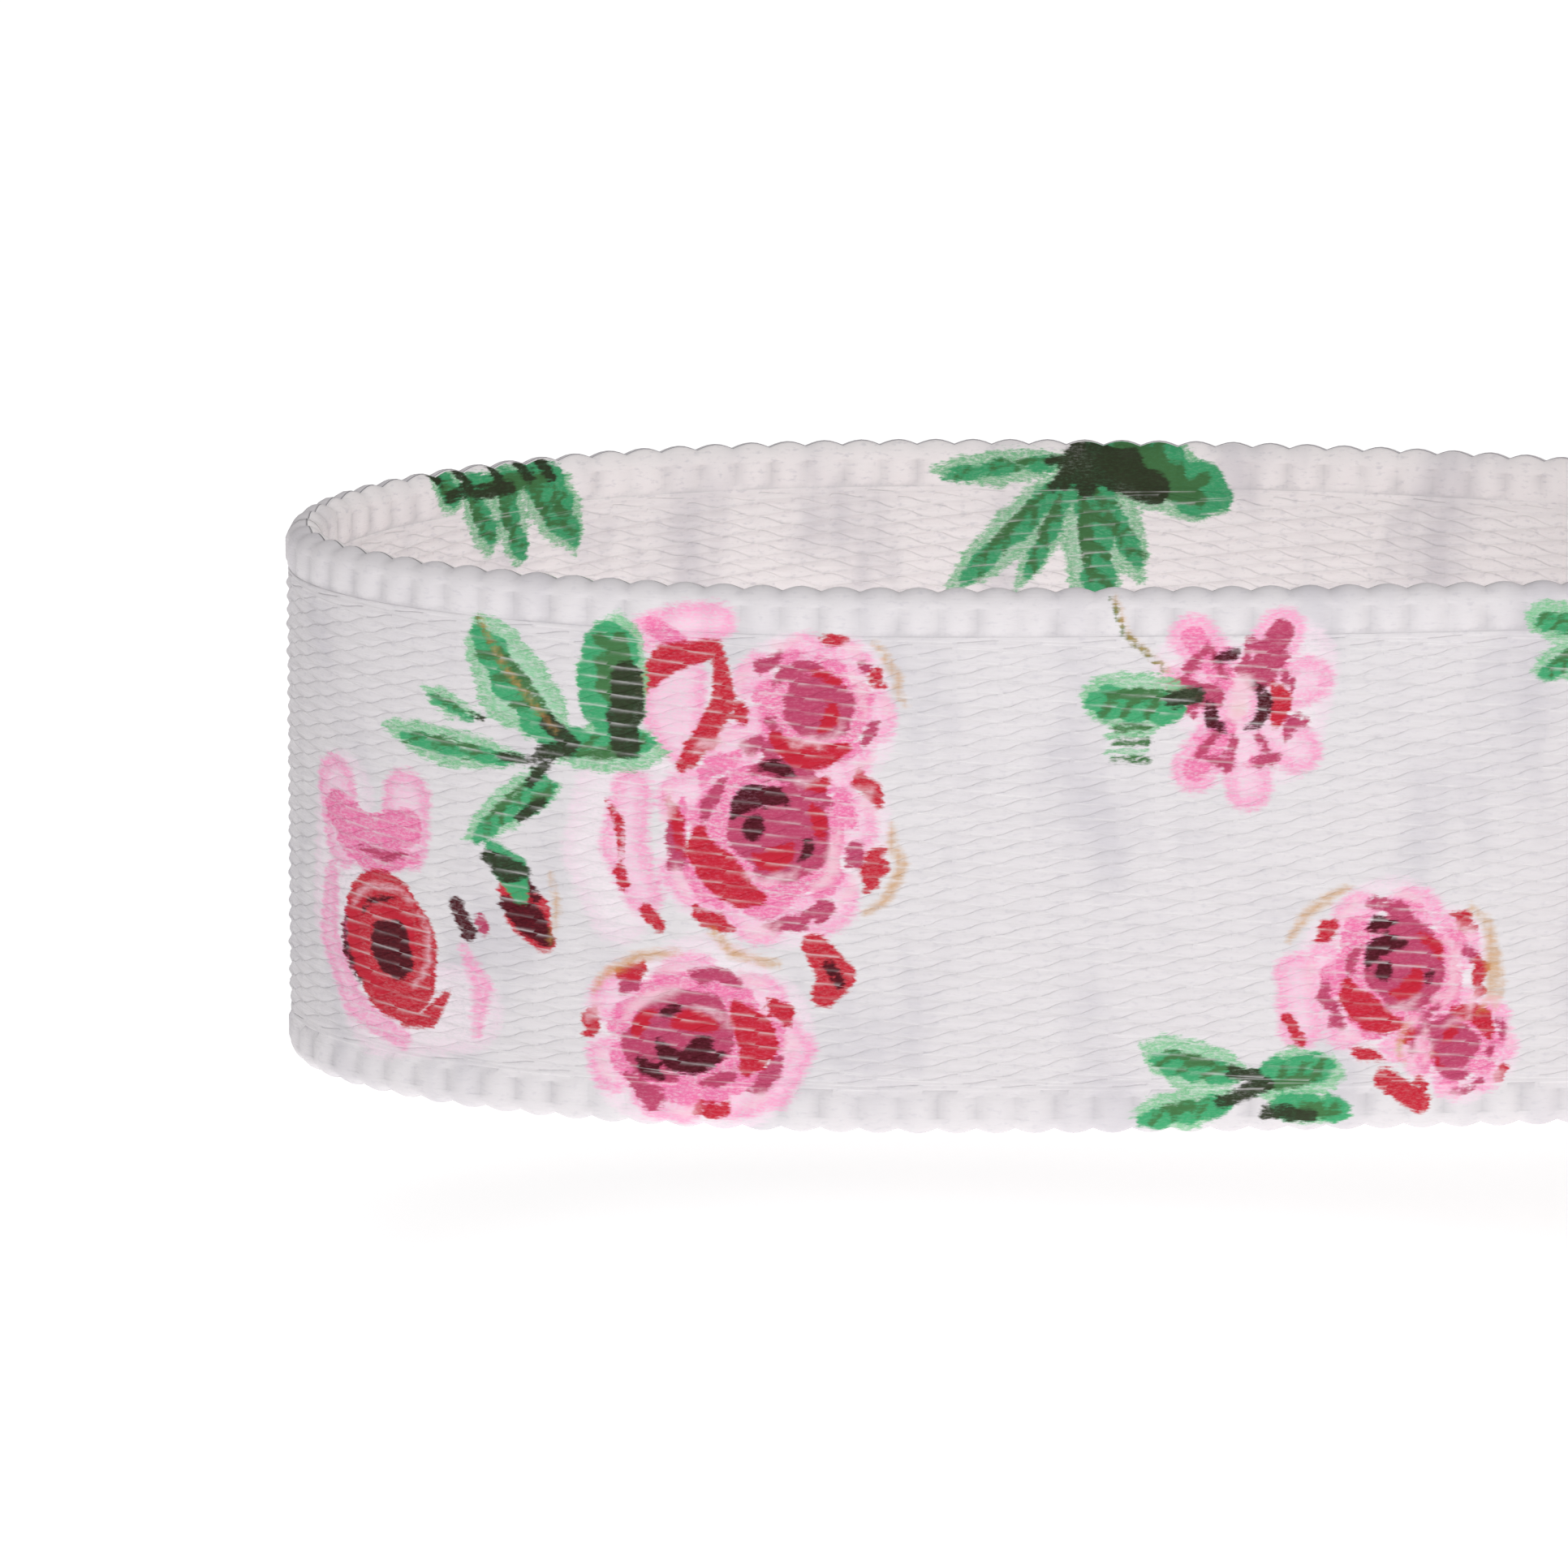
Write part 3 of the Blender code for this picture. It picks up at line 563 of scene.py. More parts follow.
    def leaf(self, root, tip, width, shade=1.0):
        """A leaf from its root to its tip: pale body, darker half, vein and a dark root."""
        root, tip = np.array(root, dtype=float), np.array(tip, dtype=float)
        way = tip - root
        across = np.array([-way[1], way[0]]) / np.hypot(*way)
        middle = root + 0.5 * way
        bow = 0.08 * width * across
        body = [root + share * way + bend * bow for share, bend in LEAF_BODY]
        self.dab("mint", *body, width=1.12 * width, tips=0.22)
        side = 0.22 * width * across
        for k in (0.28, 0.5, 0.72):
            spot = root + (k + 0.05 * self.chance.uniform(-1, 1)) * way
            spot = spot + side * self.chance.uniform(0.5, 1.2)
            stroke = (spot - 0.14 * way, spot, spot + 0.14 * way)
            self.dab("green", *stroke, width=0.56 * width * shade, tips=0.5)
        self.dab("moss", root + 0.1 * way, middle, root + 0.78 * way, width=0.24 * width * shade, tips=0.2)
        for k in (0.3, 0.5, 0.68):
            start = root + k * way
            self.dab("moss", start, start + 0.12 * way + 0.34 * width * across, width=0.12 * width * shade)
        self.dab("bark", root, root + 0.2 * way + 0.3 * side, width=0.28 * width * shade)
        if shade > 1.3:
            self.dab("moss", root + 0.2 * way, middle + 0.4 * side, root + 0.8 * way, width=0.62 * width)
            self.dab("bark", root + 0.25 * way - 0.3 * side, middle - 0.3 * side, width=0.5 * width)

    def stem(self, *points, width=0.26):
        self.dab("moss", *points, width=width, tips=0.7)
        self.dab("ochre", *[(x + 0.12, y - 0.05) for x, y in points], width=0.6 * width, tips=0.7)


def rose_group(bed, x):
    """The large group: two big roses, a small dark one, buds and leaves, from a place along."""
    bed.rose(x + 25.4, 1.2, 5.0, turned=5)
    bed.rose(x + 27.2, 6.2, 3.5, turned=50, deep=False)
    bed.rose(x + 22.4, -7.4, 4.9, turned=150, squash=0.74)
    bed.dab("blush", (x + 20.6, 9.2), (x + 22.2, 9.6), (x + 23.4, 9.8), width=1.9, tips=0.8)
    bed.dab("blush", (x + 21.9, 7.4), (x + 21.6, 6.2), (x + 21.9, 5.0), width=2.8, tips=0.8)
    bed.dab("pink", (x + 20.8, 9.5), (x + 21.8, 8.9), width=0.8)
    bed.dab("wash", (x + 23.6, 7.0), (x + 22.6, 4.8), (x + 21.2, 3.8), width=2.4, tips=0.8)
    bed.dab("red", (x + 20.3, 7.0), (x + 21.4, 8.2), (x + 23.3, 8.7), width=1.25, tips=0.6)
    bed.dab("red", (x + 23.5, 8.4), (x + 23.7, 6.6), (x + 22.9, 5.0), (x + 22.0, 3.8), width=1.05, tips=0.5)
    bed.dab("wash", (x + 18.8, 2.6), (x + 18.4, 0.0), (x + 19.4, -2.4), width=2.8, tips=0.9)
    bed.dab("blush", (x + 19.9, 2.8), (x + 19.6, 0.4), (x + 20.4, -1.6), width=2.0, tips=0.8)
    bed.dab("red", (x + 18.9, 2.2), (x + 19.4, 1.4), (x + 19.5, -0.2), width=0.45)
    bed.dab("red", (x + 19.4, -0.6), (x + 19.6, -1.2), width=0.5)
    bed.dab("red", (x + 21.3, 2.6), (x + 21.8, 1.6), (x + 21.9, 0.2), width=0.6)
    bed.dab("red", (x + 20.5, -2.2), (x + 21.0, -2.8), width=0.6)
    bed.dab("red", (x + 27.3, -3.4), (x + 28.2, -4.6), (x + 27.7, -5.4), width=1.5, tips=0.7)
    bed.dab("wine", (x + 27.9, -4.2), (x + 28.3, -4.9), width=0.5)
    bed.dab("blush", (x + 25.8, -9.6), (x + 26.8, -7.6), width=1.2)
    bed.dab("ochre", (x + 23.2, -2.9), (x + 24.0, -3.8), (x + 25.8, -4.2), width=0.4, tips=0.6)
    # small dark rose on the left, with pale petals above it and buds beside it
    bed.dab("wash", (x + 6.4, 1.0), (x + 6.2, -4.0), (x + 8.4, -7.6), (x + 12.6, -7.0), width=4.0, tips=0.9)
    bed.dab("blush", (x + 5.9, 1.4), (x + 6.4, -0.8), width=2.4)
    bed.dab("blush", (x + 9.9, 1.4), (x + 9.8, -0.4), width=2.4)
    bed.dab("pink", (x + 6.0, 0.4), (x + 7.8, -0.6), (x + 9.9, 0.2), width=2.0, tips=0.8)
    bed.dab("pink", (x + 6.2, -0.9), (x + 8.2, -1.6), (x + 10.4, -1.0), width=1.2)
    bed.dab("rose", (x + 7.3, -1.0), (x + 8.8, -1.2), (x + 10.0, -0.9), width=0.45)
    bed.dab("blush", (x + 5.6, -2.4), (x + 5.4, -5.0), (x + 7.0, -7.6), (x + 9.6, -8.6), width=1.3, tips=0.7)
    bed.dab("red", (x + 8.6, -3.8), (x + 9.0, -4.8), (x + 9.3, -5.8), width=4.8, tips=0.85)
    bed.arc("rose", (x + 8.9, -4.6), 2.0, 200, 130, 1.1)
    bed.arc("rose", (x + 8.9, -4.6), 1.2, 20, 160, 0.7)
    bed.arc("wine", (x + 8.9, -4.9), 0.7, 20, 330, 1.3)
    bed.dab("wine", (x + 8.8, -5.0), (x + 9.4, -5.4), width=1.6)
    bed.arc("wine", (x + 8.9, -4.6), 1.7, 110, 80, 0.3)
    bed.arc("wine", (x + 8.9, -4.6), 2.5, 195, 70, 0.35)
    bed.arc("light", (x + 8.9, -4.6), 2.2, 100, 90, 0.2)
    bed.arc("light", (x + 8.9, -4.6), 2.0, 350, 110, 0.18)
    bed.dab("red", (x + 9.6, -8.0), (x + 11.0, -7.6), (x + 11.9, -6.4), width=0.8)
    bed.dab("blush", (x + 12.6, -4.4), (x + 13.5, -6.0), (x + 13.2, -8.0), width=0.9)
    bed.dab("wine", (x + 12.3, -2.7), (x + 12.9, -3.8), width=0.7)
    bed.dab("rose", (x + 13.4, -3.2), (x + 13.6, -3.6), width=0.5)
    bed.dab("green", (x + 14.0, -0.2), (x + 14.8, -1.0), (x + 15.2, -2.0), width=1.5, tips=0.5)
    bed.dab("bark", (x + 13.7, -0.5), (x + 14.6, -1.0), (x + 15.4, -1.0), width=1.1, tips=0.5)
    bed.dab("red", (x + 14.7, -1.8), (x + 15.5, -2.7), (x + 16.2, -3.8), width=2.0, tips=0.5)
    bed.dab("wine", (x + 14.6, -2.4), (x + 15.6, -3.0), (x + 16.3, -3.7), width=1.4, tips=0.5)
    bed.dab("wine", (x + 14.6, -1.5), (x + 15.4, -1.5), (x + 16.0, -2.1), width=0.6, tips=0.5)
    bed.dab("rose", (x + 14.8, -2.0), (x + 15.6, -3.2), width=0.5)
    bed.dab("ochre", (x + 16.5, -1.0), (x + 16.8, -2.4), (x + 16.5, -3.8), width=0.22)
    bed.leaf((x + 17.4, 4.4), (x + 13.2, 9.4), 3.0, 0.9)
    bed.leaf((x + 19.7, 4.6), (x + 19.4, 10.0), 2.7, 1.6)
    bed.leaf((x + 16.2, 4.0), (x + 21.6, 4.3), 2.0, 1.2)
    bed.leaf((x + 15.8, 3.6), (x + 8.4, 4.4), 1.5, 0.9)
    bed.leaf((x + 13.6, 5.1), (x + 10.6, 6.2), 0.9, 0.9)
    bed.leaf((x + 16.3, 3.5), (x + 12.6, -0.1), 1.5, 1.1)
    bed.leaf((x + 15.2, 1.2), (x + 17.0, 2.8), 0.9, 1.7)
    bed.stem((x + 13.3, 9.3), (x + 14.4, 7.4), (x + 16.6, 5.0))


OPEN_PETALS = (  # angle, length and streak of each petal of the open flower
    (125, 3.4, "pink"),
    (165, 2.6, "rose"),
    (235, 3.2, "pink"),
    (275, 3.4, "blush"),
    (320, 3.0, "blush"),
    (20, 2.9, "blush"),
    (62, 3.4, "rose"),
)


def small_groups(bed, x):
    """The lighter half of the repeat: an open flower above, a rose with leaves below."""
    bed.dab("wash", (x + 42.6, 7.6), (x + 45.4, 5.4), (x + 46.2, 8.0), width=4.4, tips=0.9)
    centre = (x + 44.3, 6.5)
    for middle, reach, ink in OPEN_PETALS:
        angle = math.radians(middle)
        tip = (centre[0] + reach * math.cos(angle), centre[1] + reach * math.sin(angle))
        inner = (centre[0] + 1.2 * math.cos(angle), centre[1] + 1.2 * math.sin(angle))
        bed.dab("blush", inner, tip, width=1.9)
        bed.dab(ink, inner, tip, width=1.0)
        bed.arc("rose", centre, 0.75 * reach, middle + 14, 26, 0.45)
    bed.arc("rose", centre, 1.5, 60, 60, 1.0)
    bed.arc("red", centre, 1.5, 355, 80, 0.9)
    bed.arc("wine", centre, 0.95, 350, 150, 0.6)
    bed.arc("wine", centre, 1.3, 205, 60, 0.6)
    bed.arc("wine", centre, 2.1, 100, 30, 0.5)
    for middle in (112, 150, 222, 250, 290, 335, 40, 75):
        bed.arc("pink", centre, 2.3, middle, 22, 0.35)
        angle = math.radians(middle + 8)
        start = (centre[0] + 1.4 * math.cos(angle), centre[1] + 1.4 * math.sin(angle))
        end = (centre[0] + 2.7 * math.cos(angle), centre[1] + 2.7 * math.sin(angle))
        bed.dab("rose", start, end, width=0.36)
    bed.dab("light", (x + 44.1, 6.2), (x + 44.4, 7.4), width=0.8)
    bed.dab("ochre", (x + 44.2, 6.3), width=0.4)
    bed.leaf((x + 42.5, 6.9), (x + 37.8, 7.0), 2.4, 1.1)
    for level in (5.6, 5.0, 4.3):
        bed.dab("moss", (x + 39.2, level), (x + 40.6, level), width=0.28)
        bed.dab("mint", (x + 39.0, level + 0.3), (x + 40.4, level + 0.3), width=0.3)
    bed.stem((x + 39.1, 10.9), (x + 39.6, 9.4), (x + 41.2, 8.0))
    bed.rose(x + 50.6, -4.6, 4.0, turned=20)
    bed.rose(x + 53.2, -7.6, 2.5, turned=200, deep=False)
    bed.dab("blush", (x + 46.6, -4.6), (x + 46.8, -6.8), width=1.8)
    bed.dab("red", (x + 46.2, -6.4), (x + 46.8, -7.4), width=0.5)
    bed.dab("red", (x + 50.2, -9.0), (x + 51.6, -10.0), width=0.9)
    bed.arc("ochre", (x + 50.0, -4.8), 4.1, 130, 50, 0.35)
    bed.arc("ochre", (x + 51.2, -4.8), 3.6, 20, 60, 0.35)
    bed.leaf((x + 45.0, -8.8), (x + 40.2, -7.4), 2.0, 1.0)
    bed.leaf((x + 44.4, -9.6), (x + 39.8, -10.3), 1.6, 1.2)
    bed.leaf((x + 44.6, -9.4), (x + 48.6, -8.7), 2.0, 1.2)
    bed.leaf((x + 45.4, -10.3), (x + 49.0, -10.4), 1.2, 1.8)
    bed.leaf((x + 59.0, 9.4), (x + 55.6, 10.2), 1.6, 1.0)
    bed.leaf((x + 58.8, 9.0), (x + 56.0, 7.6), 1.5, 1.0)


REPEAT = 60.0  # millimetres from one group of the print to the same group again
outer_print = Bed(seed=7)
for place in (-2 * REPEAT, -REPEAT, 0, REPEAT):
    rose_group(outer_print, place)
    small_groups(outer_print, place)

FAN_LEAVES = (  # tip along and up, width and depth of shade of the leaves that share one root
    (34.0, 10.0, 1.4, 1.0),
    (34.8, 4.6, 1.9, 1.0),
    (37.8, 4.6, 1.3, 1.1),
    (41.2, 3.6, 2.6, 1.1),
    (43.4, 5.0, 1.8, 1.0),
    (47.0, 8.4, 3.0, 1.5),
    (45.0, 10.6, 2.0, 1.7),
)
COMB_LEAVES = (  # root along, lean and height of the tip of the leaves that hang in a row
    (11.4, 0.9, 9.6),
    (12.8, 1.6, 7.2),
    (14.6, 1.2, 6.6),
    (15.9, 1.9, 7.4),
    (17.0, 1.6, 6.9),
)
inner_print = Bed(seed=11)
for place in (-2 * REPEAT, -REPEAT, 0, REPEAT):
    for tip, height, width, shade in FAN_LEAVES:
        inner_print.leaf((place + 40.6, 10.6), (place + tip, height), width, shade)
    for start, lean, low in COMB_LEAVES:
        inner_print.leaf((place + start, 11.2), (place + start + lean, low), 1.5, 1.2)
    inner_print.leaf((place + 12.0, 10.2), (place + 18.6, 10.4), 1.3, 1.5)
    inner_print.rose(place + 26.0, -3.6, 5.0, turned=80)
    inner_print.rose(place + 51.0, -4.0, 4.4, turned=10)
    inner_print.leaf((place + 31.0, -5.0), (place + 35.4, -7.6), 2.2)
    inner_print.leaf((place + 20.6, -5.6), (place + 16.2, -8.2), 2.2)


def store_print(piece, found):
    """Stores on the piece how far each point is from each ink, three inks to a name."""
    for number in range(len(INKS) // 3):
        names = INKS[3 * number : 3 * number + 3]
        store(piece.data, f"inks_{number + 1}", np.stack([found[ink] for ink in names], axis=-1))


# The inner face is marked so that its finish gives it a brighter ground: painted light for the inside of the
# loop, which the lamps leave too dark.
INNER_MARK = 4.0  # added to the third value of "cloth" on the ribbon's inner face
# The painted shade in the valleys along the climbing edges of the floats, at its darkest.
EDGE_PAINTED_SHADE = 0.3  # how dark the climbing edges of the floats are at most


SOFT_INKS = ("wash", "blush", "light", "ochre")  # brushed on wet, with edges that run
RAGGED_INKS = ("wash", "blush", "mint")
SHEER_INKS = ("wash", "light", "ochre")
DRY_INKS = ("wash", "blush", "pink", "mint")  # the brush leaves bare threads in them


def lay_ink(cloth, ink, outside, ragged, grain, colour):
    """Adds one ink to the cloth's colour, from how far outside its dabs a point lies."""
    edge = cloth.maths("MULTIPLY_ADD", ragged, 0.9 if ink in RAGGED_INKS else 0.55, outside)
    soft = 0.22 if ink in SOFT_INKS else 0.09
    cover = cloth.ranged(edge, soft, -soft)
    full = 0.8 if ink in SHEER_INKS else 1.0
    thin = 0.42 if ink in DRY_INKS else 0.88
    body = cloth.ranged(grain, 0.36, 0.56, full * thin, full, smooth=False)
    tint = INK_COLOURS[ink]
    if ink in PALE_MIDDLES:
        tint = cloth.mix(cloth.ranged(edge, -0.9, -0.1), PALE_MIDDLES[ink], tint)
    return cloth.mix(cloth.maths("MULTIPLY", cover, body), colour, tint)


def printed_cloth(name, ground, inner_ground_painted_light, shade, threads):
    """Printed fabric: a mottled white ground, the inks in order and fibres along the threads."""
    cloth = Finish(name)
    place = cloth.stored("cloth")
    third = cloth.split(place)["Z"]
    inner = cloth.maths("GREATER_THAN", third, INNER_MARK / 2)
    rim = cloth.maths("MULTIPLY_ADD", inner, -INNER_MARK, third)

    smudge = cloth.noise(place, 1.0, 3.0, 0.55, stretch=(0.22, 0.10, 0))
    speckle = cloth.noise(place, 1.0, 2.0, 0.6, stretch=(2.2, 5.0, 0))
    # Painted light: the ribbon's inner face gets the brighter of the two grounds.
    colour = cloth.mix(inner, ground, inner_ground_painted_light)
    colour = cloth.mix(cloth.ranged(smudge, 0.47, 0.72, 0, 0.6), colour, shade)
    colour = cloth.mix(cloth.ranged(speckle, 0.52, 0.75, 0, 0.4), colour, shade)
    faint = cloth.noise(place, 1.0, 2.0, 0.5, stretch=(0.35, 0.5, 0))
    # Painted shade: the valleys at the climbing edges of the floats, and the hollows between the selvage's
    # ribs, are darkened in the colour.
    crack = cloth.maths("POWER", cloth.maths("MAXIMUM", rim, 0.0), 4.0)
    dark = cloth.maths("MULTIPLY", crack, cloth.ranged(faint, 0.35, 0.6, 0.25 * EDGE_PAINTED_SHADE, EDGE_PAINTED_SHADE))
    colour = cloth.mix(dark, colour, tuple(0.55 * c for c in shade))

    ragged = cloth.noise(place, 1.6, 3.0, 0.65, stretch=(1.1, threads, 0))
    ragged = cloth.maths("SUBTRACT", ragged, 0.5)
    grain = cloth.noise(place, 2.6, 3.0, 0.7, stretch=(1.6, threads, 0))
    for number in range(len(INKS) // 3):
        fields = cloth.split(cloth.stored(f"inks_{number + 1}"))
        for ink, outside in zip(INKS[3 * number : 3 * number + 3], fields):
            colour = lay_ink(cloth, ink, outside, ragged, grain, colour)

    # The sinking edges of the floats are lightened: bare thread that the inks miss, and painted highlight.
    dry = cloth.noise(place, 1.0, 2.0, 0.5, stretch=(0.5, 2.2, 0))
    bright = cloth.maths("MAXIMUM", cloth.maths("MULTIPLY", rim, -1.0), 0.0)
    bright = cloth.maths("POWER", bright, 4.0)
    bare_and_highlight = cloth.maths("MULTIPLY", bright, cloth.ranged(dry, 0.38, 0.62, 0.12, 0.5))
    cloth.give("Base Color", cloth.mix(bare_and_highlight, colour, BARE_THREAD_AND_HIGHLIGHT))

    fibre = cloth.noise(place, 1.0, 3.0, 0.6, stretch=(1.3, 14.0, 0))
    fibres = cloth.bump(fibre, 0.35, 0.06)
    cloth.bump(crack, 0.6, 0.05, under=fibres, hollow=True)
    cloth.give("Roughness", cloth.ranged(fibre, 0.3, 0.7, 0.5, 0.7))
    cloth.give("Specular IOR Level", 0.14)
    return cloth


# The second ground is the ribbon's inner face, painted brighter as painted light for the inside of the loop.
RIBBON_GROUND, RIBBON_INNER_PAINTED_LIGHT, RIBBON_SHADE = (0.78, 0.75, 0.77), (1.0, 0.955, 0.955), (0.60, 0.575, 0.625)
ribbon_finish = printed_cloth(
    "printed satin ribbon", RIBBON_GROUND, RIBBON_INNER_PAINTED_LIGHT, RIBBON_SHADE, threads=4.5
)


def finish_ribbon(piece, along, z, rim, side):
    """Stores on a stretch of ribbon what its finish reads, closes its skin and gives it the finish."""
    outer = side < 0
    third = rim + np.where(outer, 0.0, INNER_MARK)
    store(piece.data, "cloth", np.stack([np.where(outer, along, -along), z, third], axis=-1))
    outside, inside = outer_print.distances(along, z), inner_print.distances(-along, z)
    store_print(piece, {ink: np.where(outer, outside[ink], inside[ink]) for ink in INKS})
    close_skin(piece)
    piece.data.materials.append(ribbon_finish.material)


ribbon_loop, *cloth_facts = woven_piece("ribbon_loop", LOOP_START_PICK * PICK, FRONT_START_PICK * PICK)
finish_ribbon(ribbon_loop, *cloth_facts)
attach(ribbon_loop, "band")
ribbon_front, *cloth_facts = woven_piece("ribbon_front", FRONT_START_PICK * PICK, LOOP_END_PICK * PICK)
finish_ribbon(ribbon_front, *cloth_facts)
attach(ribbon_front, "band")
ribbon_fold, *cloth_facts = woven_piece("ribbon_fold", LOOP_END_PICK * PICK, line_length[-1])
finish_ribbon(ribbon_fold, *cloth_facts)
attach(ribbon_fold, "band")
ribbon_tail, *cloth_facts = woven_piece("ribbon_tail_end", line_length[0], LOOP_START_PICK * PICK)
finish_ribbon(ribbon_tail, *cloth_facts)
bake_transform(ribbon_tail)
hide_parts("ribbon")
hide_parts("ribbon_tail")

# ------------------------------------------------------------------ bar of stitches
# The turned-in end of the ribbon is closed round its pin by a bar tack: one thread, sewn to and fro
# across the bar so closely that its stitches nearly touch.

BAR_START_X, BAR_END_X, BAR_HEIGHT = -4.6, -3.4, 19.0
BAR_STITCHES = 52
STITCH_POINTS = 5
STITCH_RISE, STITCH_CLEAR = 0.28, 0.02  # a stitch's arch over the ribbon, and its ends' height
THREAD_RADIUS = 0.15


def near_face(x, above):
    """A point in plan on the outer side of the near run, a little above its surface."""
    share = (x - LOOP_CENTRE_X) / NEAR_RUN
    slope = NEAR_POWER * NEAR_DROP / NEAR_RUN * share ** (NEAR_POWER - 1)
    off = (HALF_THICKNESS + above) / math.hypot(1, slope)
    return x + slope * off, -(NEAR_APEX - NEAR_DROP * share**NEAR_POWER) - off


def thread_piece(name, runs, radius, sides=2, closed=False):
    """Round threads along lists of points, as one mesh."""
    clear_selection()
    bpy.ops.curve.primitive_nurbs_path_add(location=(0, 0, 0))
    piece = bpy.context.object
    piece.name = name
    curve = piece.data
    curve.splines.clear()
    for run in runs:
        spline = curve.splines.new("POLY")
        spline.points.add(len(run) - 1)
        flat = np.ones((len(run), 4))
        flat[:, :3] = np.array(run) * MM
        spline.points.foreach_set("co", flat.ravel())
        spline.use_cyclic_u = closed
    curve.dimensions = "3D"
    curve.bevel_depth = radius * MM
    curve.bevel_resolution = sides
    curve.use_fill_caps = True
    bpy.ops.object.convert(target="MESH")
    bpy.ops.object.shade_smooth()
    return bpy.context.object


stitches = []
for k in range(BAR_STITCHES + 1):
    z = BAR_HEIGHT * (k / BAR_STITCHES - 0.5)
    ends = (BAR_START_X, BAR_END_X) if k % 2 == 0 else (BAR_END_X, BAR_START_X)
    for step in range(STITCH_POINTS):
        share = step / (STITCH_POINTS - 1)
        x = ends[0] + (ends[1] - ends[0]) * share
        lift = STITCH_RISE * math.sin(math.pi * share) + STITCH_CLEAR
        px, py = near_face(x, lift)
        stitches.append((px, py, z + BAR_HEIGHT / BAR_STITCHES * share))
bar_tack = thread_piece("bar_tack", [stitches], THREAD_RADIUS)


def twisted_finish(name, colour, dark, roughness, strands=1.6):
    """Thread or cord: fine twisted fibres with painted shade in the hollows between them."""
    finish = Finish(name)
    place = finish.place()
    fine = finish.noise(place, strands, 3.0, 0.6, stretch=(2600, 2600, 900))
    broad = finish.noise(place, 1.0, 2.0, 0.5, stretch=(240, 240, 240))
    # Painted shade: the fibres are darkened where their bump is low, in the hollows between them.
    tint = finish.mix(finish.ranged(fine, 0.35, 0.65), dark, colour)
    finish.give("Base Color", finish.mix(finish.ranged(broad, 0.4, 0.7, 0, 0.3), tint, dark))
    finish.bump(fine, 0.5, 0.05)
    finish.give("Roughness", roughness)
    finish.give("Specular IOR Level", 0.3)
    return finish.material


thread_finish = twisted_finish("white sewing thread", (0.88, 0.86, 0.84), (0.62, 0.59, 0.58), 0.6)
bar_tack.data.materials.append(thread_finish)
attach(bar_tack, "band")
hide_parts("fold_stitches")

# ------------------------------------------------------------------ hook and loop tapes
# The hook tape is sewn on the back of the ribbon's tail: a woven base with rows of small bent
# hooks. The loop tape it closes on is a base with a nap of fine loops, bonded in the back plate.

HOOK_LOW, HOOK_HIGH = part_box("hook_tape")
LOOP_LOW, LOOP_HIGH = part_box("loop_tape")
TAPE_BASE = 0.45
HOOK_PITCH = 0.95
HOOK_BEND = ((0, 0), (0.3, 0), (0.45, 0.08), (0.5, 0.2), (0.4, 0.32))  # out from the tape, and over
LOOP_COUNT = 900


def slab(name, low, high, bevel, cuts):
    """A box between two corners in millimetres, its edges rounded and its faces divided."""
    clear_selection()
    middle = [(a + b) / 2 * MM for a, b in zip(low, high)]
    bpy.ops.mesh.primitive_cube_add(size=1, location=middle)
    piece = bpy.context.object
    piece.name = name
    piece.scale = [(b - a) * MM for a, b in zip(low, high)]
    bpy.ops.object.transform_apply(location=True, rotation=True, scale=True)
    bpy.ops.object.mode_set(mode="EDIT")
    bpy.ops.mesh.select_all(action="SELECT")
    bpy.ops.mesh.bevel(offset=bevel * MM, segments=2)
    bpy.ops.mesh.select_all(action="SELECT")
    bpy.ops.mesh.subdivide(number_cuts=cuts)
    bpy.ops.object.mode_set(mode="OBJECT")
    bpy.ops.object.shade_smooth_by_angle(angle=math.radians(40))
    return piece


def join_pieces(first, *others):
    clear_selection()
    for piece in (first, *others):
        piece.select_set(True)
    bpy.context.view_layer.objects.active = first
    bpy.ops.object.join()
    return first


tape_finish = twisted_finish("white fastening tape", (0.86, 0.86, 0.87), (0.6, 0.6, 0.62), 0.7)
low = [v / MM for v in HOOK_LOW]
high = [v / MM for v in HOOK_HIGH]
hook_base = slab("hook_tape_sewn", low, (low[0] + TAPE_BASE, high[1], high[2]), 0.1, 3)
hooks = []
for row, y in enumerate(np.arange(low[1] + 0.5, high[1] - 0.4, HOOK_PITCH)):
    for z in np.arange(low[2] + 0.5 + 0.4 * (row % 2), high[2] - 0.4, HOOK_PITCH):
        x = low[0] + TAPE_BASE - 0.05
        hooks.append([(x + out, y + over, z) for out, over in HOOK_BEND])
hook_rows = thread_piece("hook_rows", hooks, 0.075, sides=0)
hook_tape = join_pieces(hook_base, hook_rows)
hook_tape.data.materials.clear()
hook_tape.data.materials.append(tape_finish)
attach(hook_tape, "closure")
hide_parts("hook_tape")

low = [v / MM for v in LOOP_LOW]
high = [v / MM for v in LOOP_HIGH]
loop_base = slab("loop_tape_bonded", (low[0] + 0.7, low[1], low[2]), high, 0.15, 3)
nap_chance = np.random.default_rng(3)
nap = []
for _ in range(LOOP_COUNT):
    y = nap_chance.uniform(low[1] + 0.3, high[1] - 0.3)
    z = nap_chance.uniform(low[2] + 0.3, high[2] - 0.3)
    facing, reach = nap_chance.uniform(0, math.pi), nap_chance.uniform(0.15, 0.3)
    height = nap_chance.uniform(0.45, 0.68)
    loop = []
    for angle in np.linspace(0, math.pi, 6):
        out, aside = height * math.sin(angle), reach * math.cos(angle)
        foot = (y + aside * math.cos(facing), z + aside * math.sin(facing))
        loop.append((low[0] + 0.72 - out, *foot))
    nap.append(loop)
loop_nap = thread_piece("loop_nap", nap, 0.05, sides=0)
loop_tape = join_pieces(loop_base, loop_nap)
loop_tape.data.materials.clear()
loop_tape.data.materials.append(tape_finish)
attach(loop_tape, "base")
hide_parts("loop_tape")
